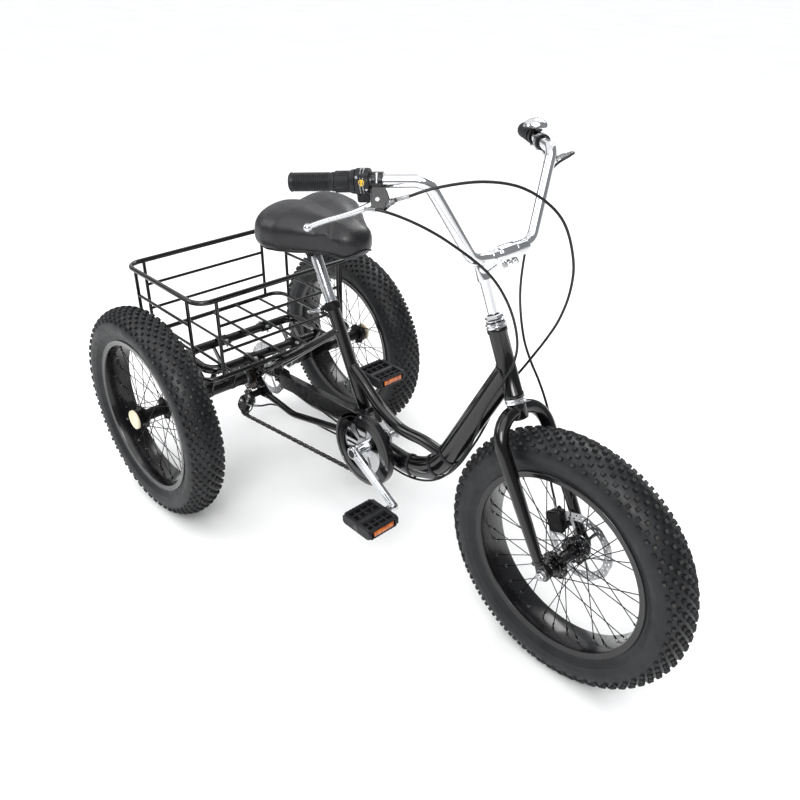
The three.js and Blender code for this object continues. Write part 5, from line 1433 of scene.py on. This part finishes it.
def bell_body():
    end, axes = bar_end_axes(1)
    band = washer(ORIGIN, X, 14.6, 11.5, 82, 96, 1, 40)
    spot = np.array([89.0, 0, 0])
    post = disc(spot, Z, 4, 13, 35, 0.6, 20)
    turn = np.radians(np.linspace(0, 86, 14))
    outer = np.stack([25 * np.sin(turn), 21 + 16 * np.cos(turn)], -1)
    inner = np.stack([23.4 * np.sin(turn[::-1]), 20.6 + 14.4 * np.cos(turn[::-1])], -1)
    dome = lathe(spot, Z, np.concatenate([outer, [[25.2, 20.6], [23.6, 20.4]], inner]), 56,
        loop=False)
    nut = disc(spot, Z, 3.4, 36.6, 38.6, 0.8, 20)
    base = disc(spot, Z, 13, 12.4, 15.4, 0.8, 32)
    screw = tube([89, -9, -15.4], [89, 9, -15.4], 2.6, 14)
    return in_axes(end, axes, (DARK_STEEL, band, post, base), (CHROME, dome, nut), (ZINC, screw))


def bell_lever():
    """A thumb tab: a flat bar from a ring round the post, with a domed pad at its end."""
    end, axes = bar_end_axes(1)
    ring = washer(ORIGIN, Z, 7, 4.4, 16.5, 19.5, 0.5, 32)
    bar = block([5, -4, 16.6], [34, 4, 19.4], 0.8, 1.2)
    pad = disc(np.array([33.0, 0, 0]), Z, 6, 16.2, 20.6, 1.4, 28)
    return in_axes(end + 89 * axes[0], axes, (ZINC, ring, bar), (PLASTIC, pad))


# ---- Cables ----

def from_clamp(*places):
    return BAR_CLAMP + np.array(places, float)


def from_head(*places):
    return HEAD_BOTTOM + np.array(places, float)


REAR_BRAKE_LINE = [from_clamp([-42, -238, 138], [-29, -228, 143], [-1, -200, 157], [47, -125, 165],
    [89, -70, 151]), from_head([76, -22, 390], [91, 8, 311], [85, 20, 251], [63, 30, 184],
    [37, 36, 134], [11, 38, 89], [-17, 37, 41], [-47, 32, -9]),
    beside_main_tube([[0.4, 26, 13], [0.554, 20, 22], [0.68, 14, 28], [0.8, 8, 31.5], [1, 8, 31.5],
    [3, 8, 31.5], [5, 8, 31.5], [7, 8, 31.5]]), SHELL + np.array([[30, 8, -37], [-24, 9, -36],
    [-104, 12, -30]]), REAR_CENTRE + np.array([[250, 18, -22], [150, 24, -6], [94.5, 26, 6]])]
SHIFT_LINE = [from_clamp([-93, -265, 116.5], [-66, -252, 116.5], [-43, -225, 104.5],
    [-14, -195, 85.5], [12, -160, 57.5]), from_head([2, -105, 286], [23, -68, 218], [29, -46, 145],
    [19, -39, 96], [-5, -33, 46], [-29, -31, 0]), beside_main_tube([[0.34, -26, 18],
    [0.48, -20, 25], [0.6, -14, 29], [0.72, -8, 31.5], [1, -8, 31.5], [3, -8, 31.5], [5, -8, 31.5],
    [7, -8, 31.5]]), SHELL + np.array([[30, -8, -37], [-64, -8, -38]]),
    REAR_CENTRE + np.array([[300, -8, -50], [120, -8, -68], [60, -14, -80], [40, -32, -87],
    [17.5, -54, -87]])]
FRONT_BRAKE_LINE = [from_clamp([-42, 238, 138], [-31, 226, 142], [-28, 208, 139], [-44, 192, 123],
    [-60, 184, 92], [-67, 168, 35]), from_head([-116, 146, 259], [-71, 80, 178], [-35, 58, 100],
    [-17, 66, 50], [-2, 80, 6], [14, 92, -44], [33, 93, -92], [47, 88, -149]),
    FRONT_CENTRE + np.array([[-101, 66, 115], [-81, 60, 76], [-73.5, 57, 60]])]


def cable(lines, details):
    """A sleeve along its line, with a ferrule at each end and the bare inner wire beyond."""
    path = even_path(smooth_path(np.concatenate(lines), 8), 7)
    radius = details.cable_radius * 1000
    sleeve = sweep(path, ellipse(radius, radius, 12))
    ferrules = [rods([path[0]], [path[3]], radius + 0.9, 14),
        rods([path[-1]], [path[-4]], radius + 0.9, 14)]
    return [(CABLE_SLEEVE, sleeve), (ZINC, *ferrules)]


# ---- What a user may change ----

def colour(name, about, hex_colour):
    return bpy.props.FloatVectorProperty(name=name, description=about, subtype="COLOR", size=3,
        min=0, max=1, default=linear(hex_colour)[:3])


class TricycleColours(bpy.types.PropertyGroup):
    """Base colours of the finishes."""
    paint: colour("Paint", "Darkest tone of the stoved enamel", "#050506")
    rubber: colour("Rubber", "Tyre side walls", "#17181a")
    vinyl: colour("Saddle", "Darkest tone of the saddle cover", "#131316")
    plastic: colour("Plastic", "Grips, pedals and housings", "#17181c")
    chrome: colour("Chrome", "Warmer tone of the chrome plate", "#dfe0e2")
    hub_cap: colour("Hub cap", "Caps on the rear hubs", "#dcd2b4")
    reflector: colour("Reflector", "Brighter tone of the pedal reflectors", "#f08a12")


class TricycleDetails(bpy.types.PropertyGroup):
    """Sizes of small features that the joints do not depend on."""
    tread_rows: bpy.props.IntProperty(name="Tread rows", description="Rows of knobs round a tyre",
        default=60, min=40, max=96)
    knob_height: bpy.props.FloatProperty(name="Knob height",
        description="Height of a tread knob above the casing", default=0.005, min=0.002, max=0.006,
        subtype="DISTANCE", unit="LENGTH")
    basket_wire: bpy.props.FloatProperty(name="Basket wire",
        description="Thickness of the basket's wires", default=0.008, min=0.004, max=0.01,
        subtype="DISTANCE", unit="LENGTH")
    clip_width: bpy.props.FloatProperty(name="Clip width", description="Width of the cable bands",
        default=0.008, min=0.004, max=0.015, subtype="DISTANCE", unit="LENGTH")
    cable_radius: bpy.props.FloatProperty(name="Cable radius",
        description="Outside radius of a cable's sleeve", default=0.0025, min=0.002, max=0.003,
        subtype="DISTANCE", unit="LENGTH")


class TricycleStage(bpy.types.PropertyGroup):
    """Floor and light."""
    floor: colour("Floor", "Floor and backdrop", "#f7f7f7")
    light: bpy.props.FloatProperty(name="Light", description="Strength of the soft lights",
        default=1.0, min=0.1, max=4)


# ---- Operators ----

class BuildPiece:
    """Shared by the operators: what they read and how they report."""
    bl_options = {"REGISTER", "UNDO"}

    def execute(self, context):
        self.build(context.scene.tricycle_details)
        return {"FINISHED"}


class TRICYCLE_OT_finishes(bpy.types.Operator):
    """Make every finish"""
    bl_idname = "tricycle.finishes"
    bl_label = "Finishes"

    def execute(self, context):
        colours = context.scene.tricycle_colours
        painted_finishes(colours)
        metal_finishes(colours)
        rubber_and_plastic_finishes(colours)
        return {"FINISHED"}


class TRICYCLE_OT_wheels(BuildPiece, bpy.types.Operator):
    """Build the three wheels with their tyres, rims, spokes, hubs and discs"""
    bl_idname = "tricycle.wheels"
    bl_label = "Wheels"

    def build(self, details):
        rear = {"right_rear": (-1, "right_rear_wheel"), "left_rear": (1, "rear_axle")}
        wheels = [("front", "front_wheel", FRONT_CENTRE, (-31, 34), front_hub())]
        for prefix, (side, body) in rear.items():
            centre = REAR_CENTRE + side * HALF_TRACK * Y
            wheels.append((prefix, body, centre, (-31.5, 31.5), rear_hub(centre, side)))
        for prefix, body, centre, flanges, hub in wheels:
            fine(f"{prefix}_tyre", body, tyre(centre, details), 40)
            fine(f"{prefix}_rim", body, rim(centre), 30)
            fine(f"{prefix}_spokes", body, spokes(centre, flanges), 50)
            fine(f"{prefix}_hub", body, hub)
        fine("front_rotor", "front_wheel", rotor(FRONT_CENTRE, 54.3, 12))
        fine("front_axle", "steering", front_axle())


class TRICYCLE_OT_rear_axle(BuildPiece, bpy.types.Operator):
    """Build the live axle with its disc and freewheel"""
    bl_idname = "tricycle.rear_axle"
    bl_label = "Rear axle"

    def build(self, details):
        fine("rear_axle", "rear_axle", rear_axle())
        fine("rear_rotor", "rear_axle", rotor(REAR_CENTRE, 27.3, 9))
        fine("freewheel", "rear_axle", freewheel(chain_line()))


class TRICYCLE_OT_carriage(BuildPiece, bpy.types.Operator):
    """Build the rear carriage, its axle bearings and the basket"""
    bl_idname = "tricycle.carriage"
    bl_label = "Carriage and basket"

    def build(self, details):
        fine("rear_carriage", "frame", carriage())
        for side, word, inner in ((-1, "right", 58), (1, "left", 100)):
            fine(f"{word}_axle_bearing", "frame", axle_bearing(side, inner))
        fine("basket", "frame", basket(details), 45)


class TRICYCLE_OT_frame(BuildPiece, bpy.types.Operator):
    """Build the welded main frame and the bands that hold the cables to it"""
    bl_idname = "tricycle.frame"
    bl_label = "Frame"

    def build(self, details):
        fine("main_frame", "frame", main_frame(), 40)
        make_piece("cable_clips", "frame", [], cable_clips(details))


class TRICYCLE_OT_drive(BuildPiece, bpy.types.Operator):
    """Build the cranks, pedals, chain, chain guard and derailleur"""
    bl_idname = "tricycle.drive"
    bl_label = "Drive"

    def build(self, details):
        pins = chain_line()
        fine("bottom_bracket", "frame", bottom_bracket())
        fine("crank_spindle", "crank", crank_spindle())
        fine("chainring", "crank", chainring(pins))
        for side, word in ((-1, "right"), (1, "left")):
            fine(f"{word}_crank_arm", "crank", crank_arm(side))
            fine(f"{word}_pedal", f"{word}_pedal",
                pedal(pivot(f"{word}_pedal_spin"), side))
        self.hang_chain(pins)
        fine("chain_guard", "frame", chain_guard())
        fine("derailleur_body", "frame", derailleur_body())
        fine("derailleur_cage", "derailleur_cage", derailleur_cage())
        fine("guide_pulley", "guide_pulley", pulley(GUIDE, pins, 60))
        fine("tension_pulley", "tension_pulley", pulley(TENSION, pins, -120))

    def hang_chain(self, pins):
        """Three lengths: one holds still, one drops from the guide pulley to the tension pulley,
        and one goes back to the chainring. The last two are left where they are, attached to no
        body."""
        reach = CHAIN_PITCH * PULLEY_TEETH / (2 * math.pi)
        on_guide, on_tension = (np.flatnonzero(np.hypot(*(pins - centre[[0, 2]]).T) < reach + 1.5)
            for centre in (GUIDE, TENSION))
        last, middle = on_guide[-1], on_tension[len(on_tension) // 2]
        number = np.arange(len(pins))
        down = unit(TENSION - GUIDE)
        drop = float(np.linalg.norm(TENSION - GUIDE))
        fine("chain", "frame", chain(pins, number[:last]), 50)
        make_piece("chain_drop", "frame", [], chain(pins, number[last:middle]), 50,
            ("frame", "derailleur_cage", in_metres(GUIDE + 18 * down),
            in_metres(GUIDE + (drop - reach) * down)))
        make_piece("chain_return", "frame", [], chain(pins, number[middle:]), 50,
            ("frame", "derailleur_cage", in_metres(TENSION + (reach + 110) * X),
            in_metres(TENSION + reach * X)))


class TRICYCLE_OT_brakes(BuildPiece, bpy.types.Operator):
    """Build the two disc brake calipers"""
    bl_idname = "tricycle.brakes"
    bl_label = "Brakes"

    def build(self, details):
        fine("rear_caliper", "frame", caliper([50, 13, 277], [94, 40, 315], 28.3,
            [89, 0, 0]))
        parts = caliper([-39.4, 43, 31], [-0.6, 70, 79], 55.3, [-34.6, 0, 0])
        centre = FRONT_CENTRE - RAKE * STEER_LOCAL[0]
        fine("front_caliper", "steering", in_axes(centre, STEER_LOCAL, *parts))


class TRICYCLE_OT_seat(BuildPiece, bpy.types.Operator):
    """Build the saddle, its post, clamp and lever"""
    bl_idname = "tricycle.seat"
    bl_label = "Seat"

    def build(self, details):
        fine("seat_clamp", "frame", seat_clamp())
        fine("seat_clamp_lever", "seat_clamp_lever", seat_clamp_lever())
        fine("seat_post", "seat", seat_post())
        cover = make_piece("saddle_cover", "seat", ["saddle"],
            [(VINYL, saddle_skin())], 180)
        inflate(cover)
        smooth = cover.modifiers.new("smooth", "SUBSURF")
        smooth.levels = smooth.render_levels = 1
        make_piece("saddle_edge", "seat", [], [(PLASTIC, saddle_edge())])


class TRICYCLE_OT_steering(BuildPiece, bpy.types.Operator):
    """Build the fork, headset, stem and handlebar"""
    bl_idname = "tricycle.steering"
    bl_label = "Steering"

    def build(self, details):
        top = HEAD_LENGTH
        fine("fork", "steering", fork(), 40)
        fine("headset_lower_cup", "frame", headset_cup([[17, -12.7], [20.4, -12.2],
            [21, -11.4], [21, -7], [19, -6], [21, -4.6], [21, -0.6]], (-6.4, -5.2)))
        fine("headset_upper_cup", "frame", headset_cup([[21, top + 0.6], [21, top + 4.4],
            [18.6, top + 5.6], [18.6, top + 7], [21, top + 8], [20.4, top + 12], [17, top + 13]],
            (top + 5.4, top + 7.2)))
        fine("headset_locknut", "steering", headset_locknut())
        fine("stem", "steering", stem())
        fine("handlebar", "steering", handlebar(), 40)


class TRICYCLE_OT_controls(BuildPiece, bpy.types.Operator):
    """Build the grips, gear shifter, brake levers and bell"""
    bl_idname = "tricycle.controls"
    bl_label = "Controls"

    def build(self, details):
        for side, word in ((-1, "right"), (1, "left")):
            fine(f"{word}_grip", "steering", grip(side))
            fine(f"{word}_brake_bracket", "steering", brake_bracket(side))
            make_piece(f"{word}_brake_lever_fine", f"{word}_brake_lever", [f"{word}_brake_lever"],
                brake_lever(side))
        fine("twist_grip", "twist_grip", twist_grip())
        fine("shifter_housing", "steering", shifter_housing())
        fine("bell_body", "steering", bell_body())
        fine("bell_lever", "bell_lever", bell_lever())


class TRICYCLE_OT_cables(BuildPiece, bpy.types.Operator):
    """Build the brake and gear cables"""
    bl_idname = "tricycle.cables"
    bl_label = "Cables"

    def build(self, details):
        across = ("frame", "steering", *(in_metres(on_steering(d)) for d in (20, 200)))
        fine("rear_brake_cable", None, cable(REAR_BRAKE_LINE, details), blend=across)
        fine("shift_cable", None, cable(SHIFT_LINE, details), blend=across)
        fine("front_brake_cable", "steering", cable(FRONT_BRAKE_LINE, details))


class TRICYCLE_OT_stage(bpy.types.Operator):
    """Lay the floor, and set the lights and the camera"""
    bl_idname = "tricycle.stage"
    bl_label = "Stage"

    def execute(self, context):
        look = context.scene.tricycle_stage
        # Seamless paper: matt, with no more than a breath of shine.
        finish_of(PAPER, (1.5, look.floor, "#fbfbfb"), Roughness=0.95, Specular_IOR_Level=0.1)
        mesh = bpy.data.meshes.new("floor")
        mesh.from_pydata([(-FLOOR, -FLOOR, 0), (FLOOR, -FLOOR, 0), (FLOOR, FLOOR, 0),
            (-FLOOR, FLOOR, 0)], [], [(0, 1, 2, 3)])
        mesh.materials.append(bpy.data.materials[PAPER])
        floor = bpy.data.objects.new("floor", mesh)
        context.scene.collection.objects.link(floor)
        self.add_lights(context, look.light)
        self.add_camera(context)
        context.scene.view_settings.view_transform = "Standard"
        context.scene.view_settings.gamma = 0.88
        return {"FINISHED"}

    def add_lights(self, context, strength):
        # The backdrop is white to the eye, and dimmer in what it lights and what reflects it.
        world = bpy.data.worlds.new("white_studio")
        world.use_nodes = True
        tree = world.node_tree
        seen = tree.nodes["Background"]
        seen.inputs["Color"].default_value = [1, 1, 1, 1]
        lit = add(tree, "ShaderNodeBackground", {"Color": [0.96, 0.98, 1, 1],
            "Strength": 0.34 * strength})
        mix = add(tree, "ShaderNodeMixShader", Fac=add(tree,
            "ShaderNodeLightPath").outputs["Is Camera Ray"])
        tree.links.new(lit.outputs[0], mix.inputs[1])
        tree.links.new(seen.outputs[0], mix.inputs[2])
        tree.links.new(mix.outputs[0], tree.nodes["World Output"].inputs["Surface"])
        context.scene.world = world
        for name, kind, place, energy, size in (("key", "AREA", (2.2, -2.6, 3.4), 75, 1.6),
                ("fill", "AREA", (-2.4, -2.2, 2.6), 30, 1.8),
                ("back", "AREA", (-1.0, 3.0, 3.0), 45, 1.8),
                ("sky", "SUN", (1.0, -1.4, 3.6), 1.8, math.radians(70)),
                ("bounce", "SUN", (-2.0, 1.0, 3.4), 0.9, math.radians(80))):
            lamp = bpy.data.lights.new(name, kind)
            lamp.energy = energy * strength
            if kind == "SUN":
                lamp.angle = size
            else:
                lamp.size = size
            holder = bpy.data.objects.new(name, lamp)
            holder.location = place
            holder.rotation_euler = (Vector((0, 0, 0.45)) - Vector(place)).to_track_quat("-Z",
                "Y").to_euler()
            context.scene.collection.objects.link(holder)

    def add_camera(self, context):
        forward = Vector((-0.62023577, 0.59551573, -0.51055714)).normalized()
        right = forward.cross(Vector((0, 0, 1))).normalized()
        up = right.cross(forward)
        roll = 0.015 # radians
        level, tall = (math.cos(roll) * right + math.sin(roll) * up,
            math.cos(roll) * up - math.sin(roll) * right)
        camera = bpy.data.cameras.new("camera")
        camera.lens, camera.sensor_width = 36.068, 36.0
        holder = bpy.data.objects.new("camera", camera)
        holder.matrix_world = Matrix.Translation((1.214463, -1.122342, 1.413570)) @ Matrix((level,
            tall, -forward)).transposed().to_4x4()
        context.scene.collection.objects.link(holder)
        context.scene.camera = holder


class TRICYCLE_PT_build(bpy.types.Panel):
    bl_idname = "TRICYCLE_PT_build"
    bl_label = "Cargo Tricycle"
    bl_space_type = "VIEW_3D"
    bl_region_type = "UI"
    bl_category = "Tricycle"

    def draw(self, context):
        for group in SETTINGS:
            column = self.layout.column(align=True)
            for name in SETTINGS[group].__annotations__:
                column.prop(getattr(context.scene, group), name)
        column = self.layout.column(align=True)
        for operator in OPERATORS:
            column.operator(operator.bl_idname)


SETTINGS = {"tricycle_colours": TricycleColours, "tricycle_details": TricycleDetails,
    "tricycle_stage": TricycleStage}
OPERATORS = (TRICYCLE_OT_stage, TRICYCLE_OT_finishes, TRICYCLE_OT_wheels, TRICYCLE_OT_rear_axle,
    TRICYCLE_OT_carriage, TRICYCLE_OT_frame, TRICYCLE_OT_drive, TRICYCLE_OT_brakes,
    TRICYCLE_OT_seat, TRICYCLE_OT_steering, TRICYCLE_OT_controls, TRICYCLE_OT_cables)
CLASSES = (*SETTINGS.values(), *OPERATORS, TRICYCLE_PT_build)


def register():
    for cls in CLASSES:
        bpy.utils.register_class(cls)
    for name, group in SETTINGS.items():
        setattr(bpy.types.Scene, name, bpy.props.PointerProperty(type=group))


def unregister():
    for name in SETTINGS:
        delattr(bpy.types.Scene, name)
    for cls in reversed(CLASSES):
        bpy.utils.unregister_class(cls)


def main():
    register()
    for operator in OPERATORS:
        category, name = operator.bl_idname.split(".")
        getattr(getattr(bpy.ops, category), name)()


if __name__ == "__main__":
    main()
